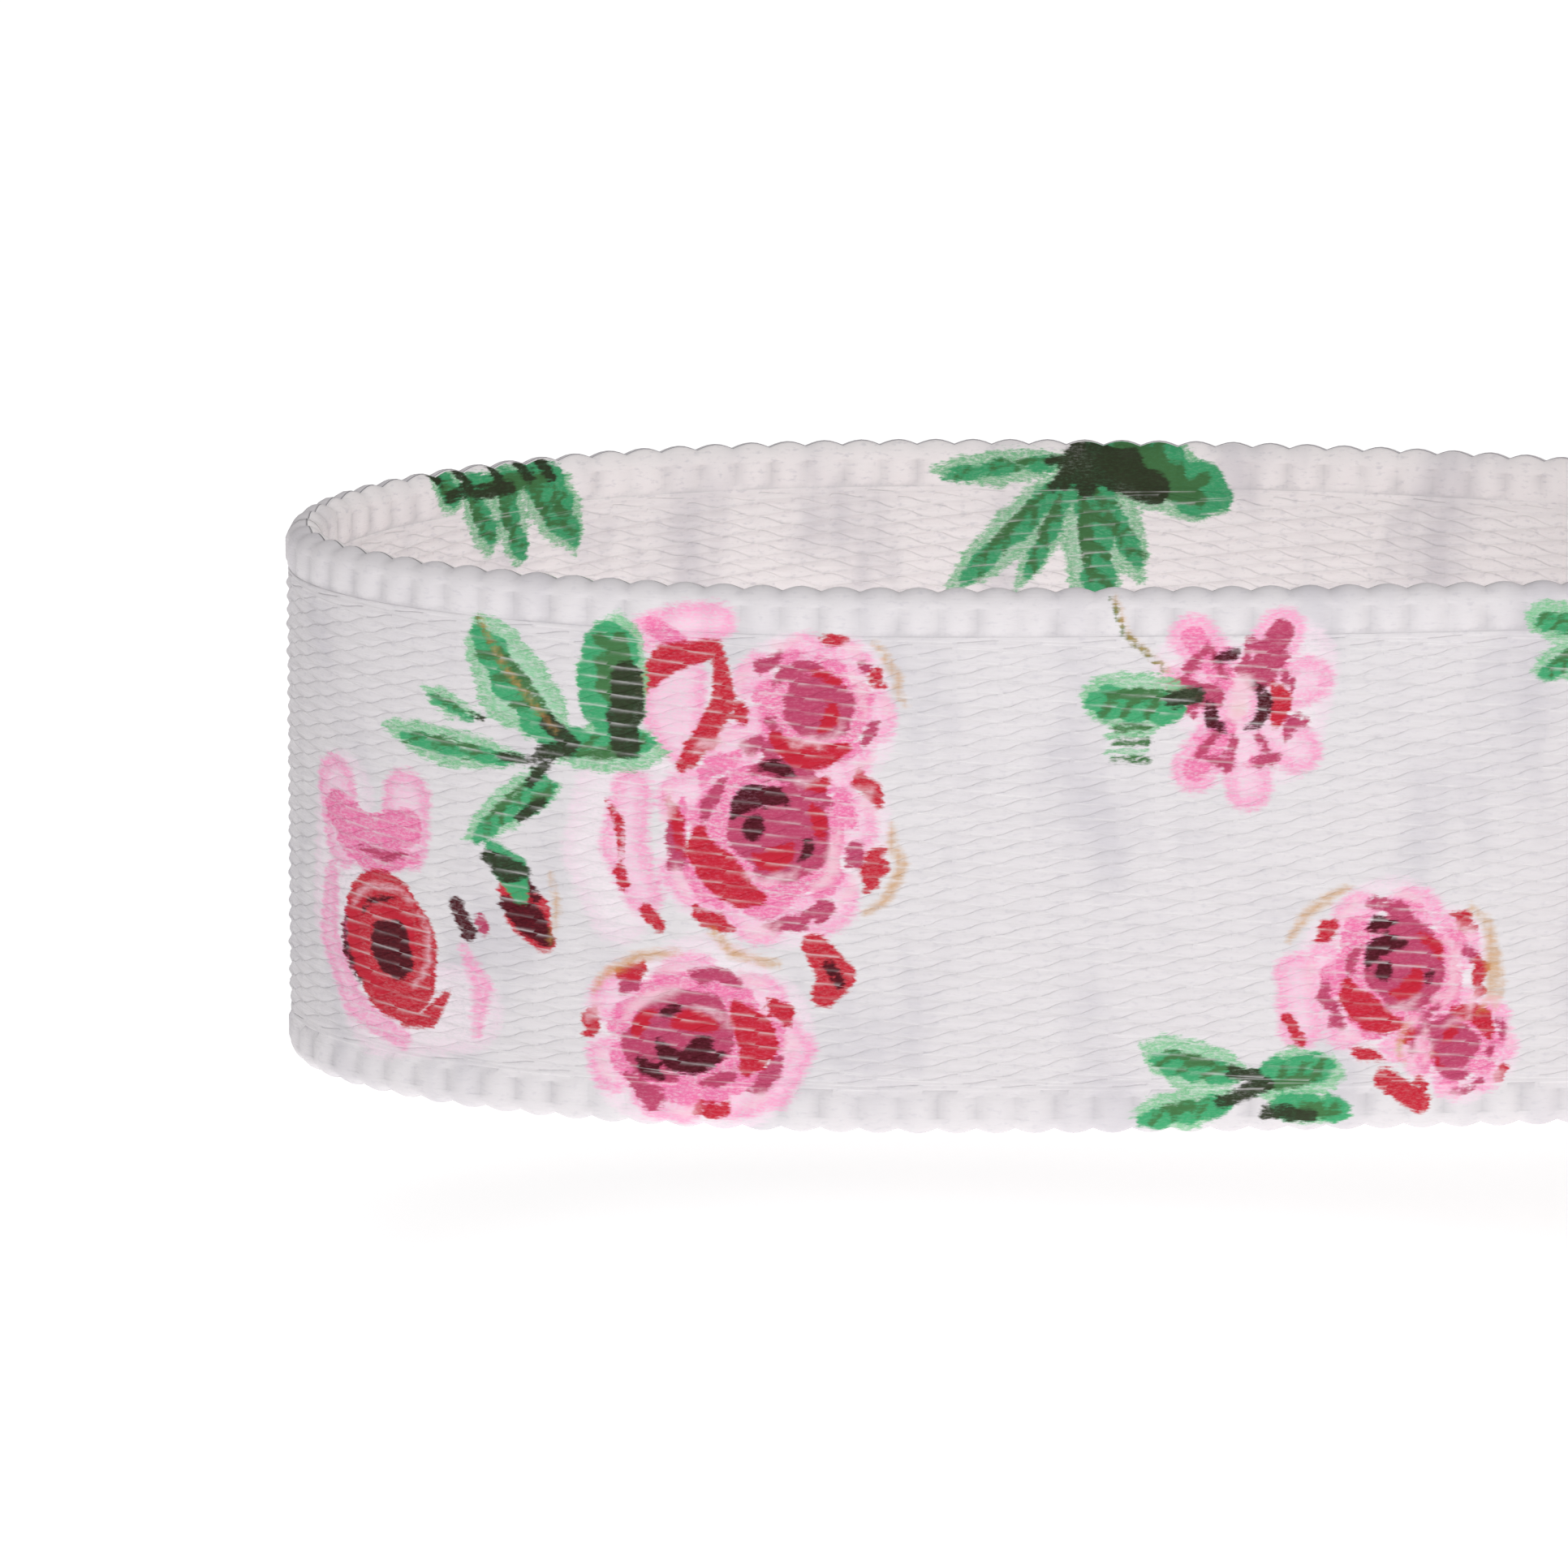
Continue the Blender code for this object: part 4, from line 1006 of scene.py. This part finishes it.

# ------------------------------------------------------------------ moulded parts
# Back plate, tray and needle guard are injection moulded. Their faces have a fine spark-eroded
# texture, slight flow marks and edges made a little lighter where the surface is sharply convex.


def moulded_finish(name, colour, roughness):
    finish = Finish(name)
    place = finish.place()
    texture = finish.noise(place, 5.0, 3.0, 0.6, stretch=(1000, 1000, 1000))
    flow = finish.noise(place, 1.5, 3.0, 0.6, stretch=(60, 25, 60))
    dull = tuple(0.86 * c for c in colour)
    bright = tuple(min(1.0, 1.12 * c) for c in colour)
    tint = finish.mix(finish.ranged(flow, 0.35, 0.7), colour, dull)
    # Edges are lightened where the surface is sharply convex.
    sharp_edges = finish.nodes.new("ShaderNodeNewGeometry").outputs["Pointiness"]
    finish.give("Base Color", finish.mix(finish.ranged(sharp_edges, 0.52, 0.6, 0, 0.5), tint, bright))
    finish.give("Roughness", finish.ranged(flow, 0.3, 0.7, roughness - 0.06, roughness + 0.08))
    finish.bump(texture, 0.3, 0.03)
    return finish.material


def refinish(node, finish):
    """Gives a CAD node its finish in place of the frame's plain colour."""
    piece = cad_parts[node]
    if not piece.material_slots:
        piece.data.materials.append(finish)
    for slot in piece.material_slots:
        slot.material = finish


ivory = moulded_finish("ivory moulded plastic", (0.80, 0.75, 0.71), 0.42)
grey = moulded_finish("grey moulded plastic", (0.5, 0.51, 0.53), 0.4)
refinish("back_plate", ivory)
refinish("tray", ivory)
refinish("needle_guard", grey)

# ------------------------------------------------------------------ pin and screws
# The headed pin and the four countersunk screws are nickel-plated steel, polished by tumbling,
# with fine scratches and a little dullness where they are handled.

nickel = Finish("nickel-plated steel")
place = nickel.place()
scratch = nickel.noise(place, 4.0, 3.0, 0.7, stretch=(900, 900, 120))
cloud = nickel.noise(place, 1.5, 2.0, 0.5, stretch=(300, 300, 300))
nickel.give("Base Color", nickel.mix(cloud, (0.78, 0.77, 0.74), (0.62, 0.61, 0.59)))
nickel.give("Roughness", nickel.ranged(scratch, 0.3, 0.7, 0.2, 0.38))
nickel.give("Metallic", 1.0)
nickel.bump(scratch, 0.15, 0.02)
for node in ("band_pin", "plate_screw_1", "plate_screw_2", "plate_screw_3", "plate_screw_4"):
    refinish(node, nickel.material)

# ------------------------------------------------------------------ felt pads
# Two segments of pressed wool felt, cut with a knife and glued to the back plate above and below
# the band. Their faces are slightly uneven and their cut edges soft.

PAD_RADIUS, PAD_EDGE_Z, PAD_THICKNESS = 21.6, 15.6, 3.3
PAD_VOXEL = 0.42
FELT_UNEVEN = 0.22


def apply_step(piece, kind, **settings):
    """Adds a modifier, sets it and applies it."""
    clear_selection()
    piece.select_set(True)
    bpy.context.view_layer.objects.active = piece
    step = piece.modifiers.new(kind.title(), kind)
    for name, value in settings.items():
        setattr(step, name, value)
    bpy.ops.object.modifier_apply(modifier=step.name)


def lumps(name, size):
    texture = bpy.data.textures.new(name, "CLOUDS")
    texture.noise_scale = size
    texture.noise_depth = 2
    return texture


def felt_pad(name, side):
    clear_selection()
    bpy.ops.mesh.primitive_cylinder_add(
        vertices=160,
        radius=(PAD_RADIUS - 0.15) * MM,
        depth=(PAD_THICKNESS - 0.25) * MM,
        location=(PAD_THICKNESS / 2 * MM, 0, 0),
        rotation=(0, math.pi / 2, 0),
    )
    piece = bpy.context.object
    piece.name = name
    bpy.ops.object.transform_apply(location=True, rotation=True, scale=True)
    bpy.ops.object.mode_set(mode="EDIT")
    bpy.ops.mesh.select_all(action="SELECT")
    bpy.ops.mesh.bisect(
        plane_co=(0, 0, side * (PAD_EDGE_Z + 0.1) * MM),
        plane_no=(0, 0, side),
        use_fill=True,
        clear_inner=True,
    )
    bpy.ops.object.mode_set(mode="OBJECT")
    apply_step(piece, "REMESH", mode="VOXEL", voxel_size=PAD_VOXEL * MM, use_smooth_shade=True)
    apply_step(piece, "SMOOTH", factor=0.6, iterations=3)
    apply_step(piece, "DISPLACE", texture=lumps(name, 2.2 * MM), strength=FELT_UNEVEN * MM, mid_level=0.5)
    bpy.ops.object.shade_smooth()
    return piece


felt = Finish("rose wool felt")
place = felt.place()
patches = felt.noise(place, 1.0, 2.0, 0.5, stretch=(700, 700, 700))
fibres = felt.noise(place, 1.0, 4.0, 0.75, stretch=(2200, 900, 3800))
matted = felt.maths("MULTIPLY", fibres, felt.maths("ADD", patches, 0.5))
felt.give("Base Color", felt.mix(felt.ranged(matted, 0.3, 0.68), (0.40, 0.17, 0.23), (0.78, 0.46, 0.54)))
felt.bump(matted, 0.9, 0.12)
felt.give("Roughness", 0.95)
felt.give("Specular IOR Level", 0.1)
felt.give("Sheen Weight", 0.35)
felt.give("Sheen Roughness", 0.6)
for side, place_name in ((1, "upper"), (-1, "lower")):
    pad = felt_pad(f"felt_{place_name}", side)
    pad.data.materials.append(felt.material)
    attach(pad, "base")
    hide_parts(f"felt_pad_{place_name}")

# ------------------------------------------------------------------ stuffing
# Teased polyester fibre, packed into the cover from behind until the dome is firm. It is a loose
# lump with the needle guard bedded in its back.

STUFFING_VOXEL = 1.3
stuffing_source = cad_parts["filling"]
stuffing = stuffing_source.copy()
stuffing.data = stuffing_source.data.copy()
stuffing.name = "stuffing"
for key in list(stuffing.keys()):
    del stuffing[key]
stuffing.parent = None
bpy.context.scene.collection.objects.link(stuffing)
clear_selection()
stuffing.select_set(True)
bpy.context.view_layer.objects.active = stuffing
bpy.ops.object.mode_set(mode="EDIT")
bpy.ops.mesh.select_all(action="SELECT")
bpy.ops.mesh.remove_doubles(threshold=0.002 * MM)
bpy.ops.object.mode_set(mode="OBJECT")
apply_step(stuffing, "REMESH", mode="VOXEL", voxel_size=STUFFING_VOXEL * MM, use_smooth_shade=True)
apply_step(stuffing, "DISPLACE", texture=lumps("tufts", 3 * MM), strength=0.5 * MM, mid_level=1.0)
stuffing_finish = twisted_finish("teased polyester fibre", (0.9, 0.89, 0.86), (0.7, 0.69, 0.66), 0.9, 0.6)
stuffing.data.materials.clear()
stuffing.data.materials.append(stuffing_finish)
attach(stuffing, "base")
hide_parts("filling")

# ------------------------------------------------------------------ cushion cover
# A disc of printed cotton, drawn in round its edge by the gather cord and tucked into the tray.
# The stuffing pushes it into a dome, and the gathers stand out as soft pleats above the rim.

COVER_HEM_X, COVER_HEM_RADIUS = 11.3, 13.6
COVER_WAIST_X, COVER_WAIST_RADIUS = 18.1, 21.7
DOME_RADIUS, DOME_WIDEST_X, DOME_TOP_X, DOME_SQUARENESS = 25.3, 23.0, 39.0, 2.25
DOME_POINTS, SHOULDER_POINTS, HEM_POINTS = 200, 59, 39  # of the cover's outer line
COVER_SIDES = 240
COVER_RINGS = 84
PLEATS = 44
PLEAT_DEPTH = 0.55
CLOTH_SCALE = 10.0  # the cloth is settled at ten times its size, where the solver works best
COVER_CAP = 1.1  # how far, in millimetres, the settled cloth may lie from its pattern
cover_chance = np.random.default_rng(19)
pleat_phase = cover_chance.uniform(0, 2 * math.pi, 3)


def cover_profile():
    """The cover's outer line as x and radius, from the middle of the dome to the hem."""
    around = np.linspace(0, math.pi / 2, DOME_POINTS)
    power = 2 / DOME_SQUARENESS
    dome_x = DOME_WIDEST_X + (DOME_TOP_X - DOME_WIDEST_X) * np.cos(around) ** power
    dome_r = DOME_RADIUS * np.sin(around) ** power
    down = np.linspace(0, 1, SHOULDER_POINTS + 1)[1:]
    swell = np.sqrt(np.clip(1 - down**2, 0, 1))
    shoulder_x = DOME_WIDEST_X - (DOME_WIDEST_X - COVER_WAIST_X) * down
    shoulder_r = COVER_WAIST_RADIUS + (DOME_RADIUS - COVER_WAIST_RADIUS) * swell
    tucked = np.linspace(0, 1, HEM_POINTS + 1)[1:]
    hem_x = COVER_WAIST_X + (COVER_HEM_X - COVER_WAIST_X) * tucked
    hem_r = COVER_WAIST_RADIUS + (COVER_HEM_RADIUS - COVER_WAIST_RADIUS) * tucked**1.6
    x = np.concatenate([dome_x, shoulder_x, hem_x])
    radius = np.concatenate([dome_r, shoulder_r, hem_r])
    return x, radius


profile_x, profile_r = cover_profile()
profile_step = np.hypot(np.diff(profile_x), np.diff(profile_r))
profile_length = np.concatenate([[0], np.cumsum(profile_step)])
waist_length = profile_length[DOME_POINTS + SHOULDER_POINTS - 1]
hem_length = profile_length[-1]
spin = np.linspace(0, 2 * math.pi, COVER_SIDES, endpoint=False)
rings = hem_length * np.linspace(0.012, 1, COVER_RINGS)
ring_x = np.interp(rings, profile_length, profile_x)
ring_r = np.interp(rings, profile_length, profile_r)
gathered = np.clip((rings - 0.55 * waist_length) / (0.45 * waist_length), 0, 1) ** 2
wander = 0.6 * np.sin(3 * spin + pleat_phase[0]) + 0.4 * np.sin(7 * spin + pleat_phase[1])
pleat = np.cos(PLEATS * spin + 2.2 * wander) * (0.75 + 0.25 * np.sin(5 * spin + pleat_phase[2]))
radius = ring_r[:, None] + PLEAT_DEPTH * gathered[:, None] * (pleat[None, :] - 0.9)
points = np.stack([ring_x[:, None] + 0 * radius, radius * np.cos(spin), radius * np.sin(spin)], axis=-1)
top = np.array([[DOME_TOP_X, 0, 0]])
pattern = np.concatenate([top, points.reshape(-1, 3)]) * MM * CLOTH_SCALE
faces = [(0, 1 + k, 1 + (k + 1) % COVER_SIDES) for k in range(COVER_SIDES)]
for ring in range(COVER_RINGS - 1):
    first = 1 + ring * COVER_SIDES
    for k in range(COVER_SIDES):
        following = (k + 1) % COVER_SIDES
        faces.append((first + k, first + COVER_SIDES + k, first + COVER_SIDES + following, first + following))
cover_mesh = bpy.data.meshes.new("printed_cover")
cover_mesh.from_pydata(pattern.tolist(), [], faces)
cover = bpy.data.objects.new("printed_cover", cover_mesh)
bpy.context.scene.collection.objects.link(cover)

held = cover.vertex_groups.new(name="held by the gather cord")
firm_rings = np.clip((rings - 0.93 * waist_length) / (0.07 * waist_length), 0, 1)
firm = np.concatenate([[0], np.repeat(firm_rings, COVER_SIDES)])
for index in np.nonzero(firm > 0)[0]:
    held.add([int(index)], float(firm[index]), "REPLACE")
settle = cover.modifiers.new("Settle", "CLOTH")
settle.settings.quality = 6
settle.settings.mass = 0.3
settle.settings.tension_stiffness = 30
settle.settings.compression_stiffness = 30
settle.settings.shear_stiffness = 12
settle.settings.bending_stiffness = 0.6
settle.settings.vertex_group_mass = held.name
settle.settings.shrink_min = -0.035
settle.settings.use_pressure = True
settle.settings.uniform_pressure_force = 4
settle.settings.effector_weights.gravity = 0
settle.collision_settings.use_collision = False
settle.point_cache.frame_end = 22
for moment in range(1, 21):
    bpy.context.scene.frame_set(moment)
clear_selection()
cover.select_set(True)
bpy.context.view_layer.objects.active = cover
bpy.ops.object.modifier_apply(modifier=settle.name)
bpy.context.scene.frame_set(1)
cover.vertex_groups.clear()

settled = np.empty(len(cover.data.vertices) * 3)
cover.data.vertices.foreach_get("co", settled)
settled = settled.reshape(-1, 3)
moved = settled - pattern
distance = np.linalg.norm(moved, axis=1)[:, None]
cap = COVER_CAP * MM * CLOTH_SCALE
moved *= np.minimum(1, cap * np.tanh(distance / cap) / np.maximum(distance, 1e-9))
settled = (pattern + moved) / CLOTH_SCALE
cover.data.vertices.foreach_set("co", settled.ravel())

cloth_reach = np.concatenate([[0], np.repeat(rings, COVER_SIDES)])
cloth_turn = np.concatenate([[0], np.tile(spin, COVER_RINGS)])
cloth_y = cloth_reach * np.cos(cloth_turn)
cloth_z = cloth_reach * np.sin(cloth_turn)
store(cover.data, "cloth", np.stack([cloth_y, cloth_z, 0 * cloth_y], axis=-1))
COVER_ROSES = (  # place across and up the flat cloth, radius and turn
    (1, 2, 7.5, 10),
    (-17, 11, 6, 80),
    (16, -13, 6.2, 150),
    (15, 16, 5, 210),
    (-13, -16, 5.6, 300),
    (-31, -3, 5.5, 40),
    (32, 4, 5.5, 120),
    (0, 31, 5.6, 260),
    (4, -32, 5.6, 330),
)
cover_print = Bed(seed=23)
for number, (y, z, size, turned) in enumerate(COVER_ROSES):
    cover_print.rose(y, z, size, turned=turned)
    for k in range(3):
        angle = math.radians(turned + 120 * k + 35)
        root = (y + 0.8 * size * math.cos(angle), z + 0.8 * size * math.sin(angle))
        tip = (y + 1.75 * size * math.cos(angle + 0.2), z + 1.75 * size * math.sin(angle + 0.2))
        cover_print.leaf(root, tip, 0.42 * size, 1.0 + 0.4 * (k == number % 3))
store_print(cover, cover_print.distances(cloth_y, cloth_z))
clear_selection()
cover.select_set(True)
bpy.context.view_layer.objects.active = cover
bpy.ops.object.mode_set(mode="EDIT")
bpy.ops.mesh.select_all(action="SELECT")
bpy.ops.mesh.normals_make_consistent(inside=False)
bpy.ops.object.mode_set(mode="OBJECT")
apply_step(cover, "SUBSURF", levels=1, render_levels=1)
apply_step(cover, "SOLIDIFY", thickness=0.35 * MM, offset=-1)
clear_selection()
cover.select_set(True)
bpy.context.view_layer.objects.active = cover
bpy.ops.object.shade_smooth()


COTTON_GROUND, COTTON_SHADE = (0.80, 0.78, 0.78), (0.66, 0.62, 0.66)
COTTON_PITCH = 0.42  # two threads of the cotton


def cotton_finish():
    """The ribbon's print on plain-woven cotton: fine crossing threads instead of floats."""
    cotton = printed_cloth("printed cotton", COTTON_GROUND, COTTON_GROUND, COTTON_SHADE, threads=1.6)
    parts = cotton.split(cotton.stored("cloth"))
    turned = [cotton.maths("MULTIPLY", parts[axis], 2 * math.pi / COTTON_PITCH) for axis in "XY"]
    weave = cotton.maths("MULTIPLY", *[cotton.maths("SINE", thread) for thread in turned])
    cotton.bump(weave, 0.55, 0.05)
    cotton.give("Specular IOR Level", 0.12)
    return cotton.material


cover.data.materials.append(cotton_finish())
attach(cover, "base")
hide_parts("cushion_cover")

# ------------------------------------------------------------------ gather cord and trim cord
# Both are twisted cords closed into rings. The thin one draws in the cover's hem inside the tray,
# and the rose satin one lies in the groove between the cover and the rim.


def twisted_ring(name, x, ring_radius, cord_radius, strands, twists):
    """A ring about the X axis, laid up from strands that turn round each other."""
    strand_radius = cord_radius * 0.54
    arm = cord_radius - strand_radius
    steps = twists * 8
    runs = []
    for strand in range(strands):
        run = []
        for k in range(steps):
            around = 2 * math.pi * k / steps
            lay = twists * around + 2 * math.pi * strand / strands
            ring = ring_radius + arm * math.cos(lay)
            run.append((x + arm * math.sin(lay), ring * math.cos(around), ring * math.sin(around)))
        runs.append(run)
    return thread_piece(name, runs, strand_radius, sides=2, closed=True)


gather_cord = twisted_ring("gather_cord_ring", 11.7, 12.7, 0.6, 2, 36)
gather_cord.data.materials.append(thread_finish)
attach(gather_cord, "base")
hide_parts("gather_cord")

trim_cord = twisted_ring("trim_cord_ring", 16.85, 23.7, 1.25, 3, 38)
trim_finish = twisted_finish("rose satin cord", (0.72, 0.13, 0.28), (0.40, 0.04, 0.11), 0.45)
trim_cord.data.materials.append(trim_finish)
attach(trim_cord, "base")
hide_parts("trim_cord")
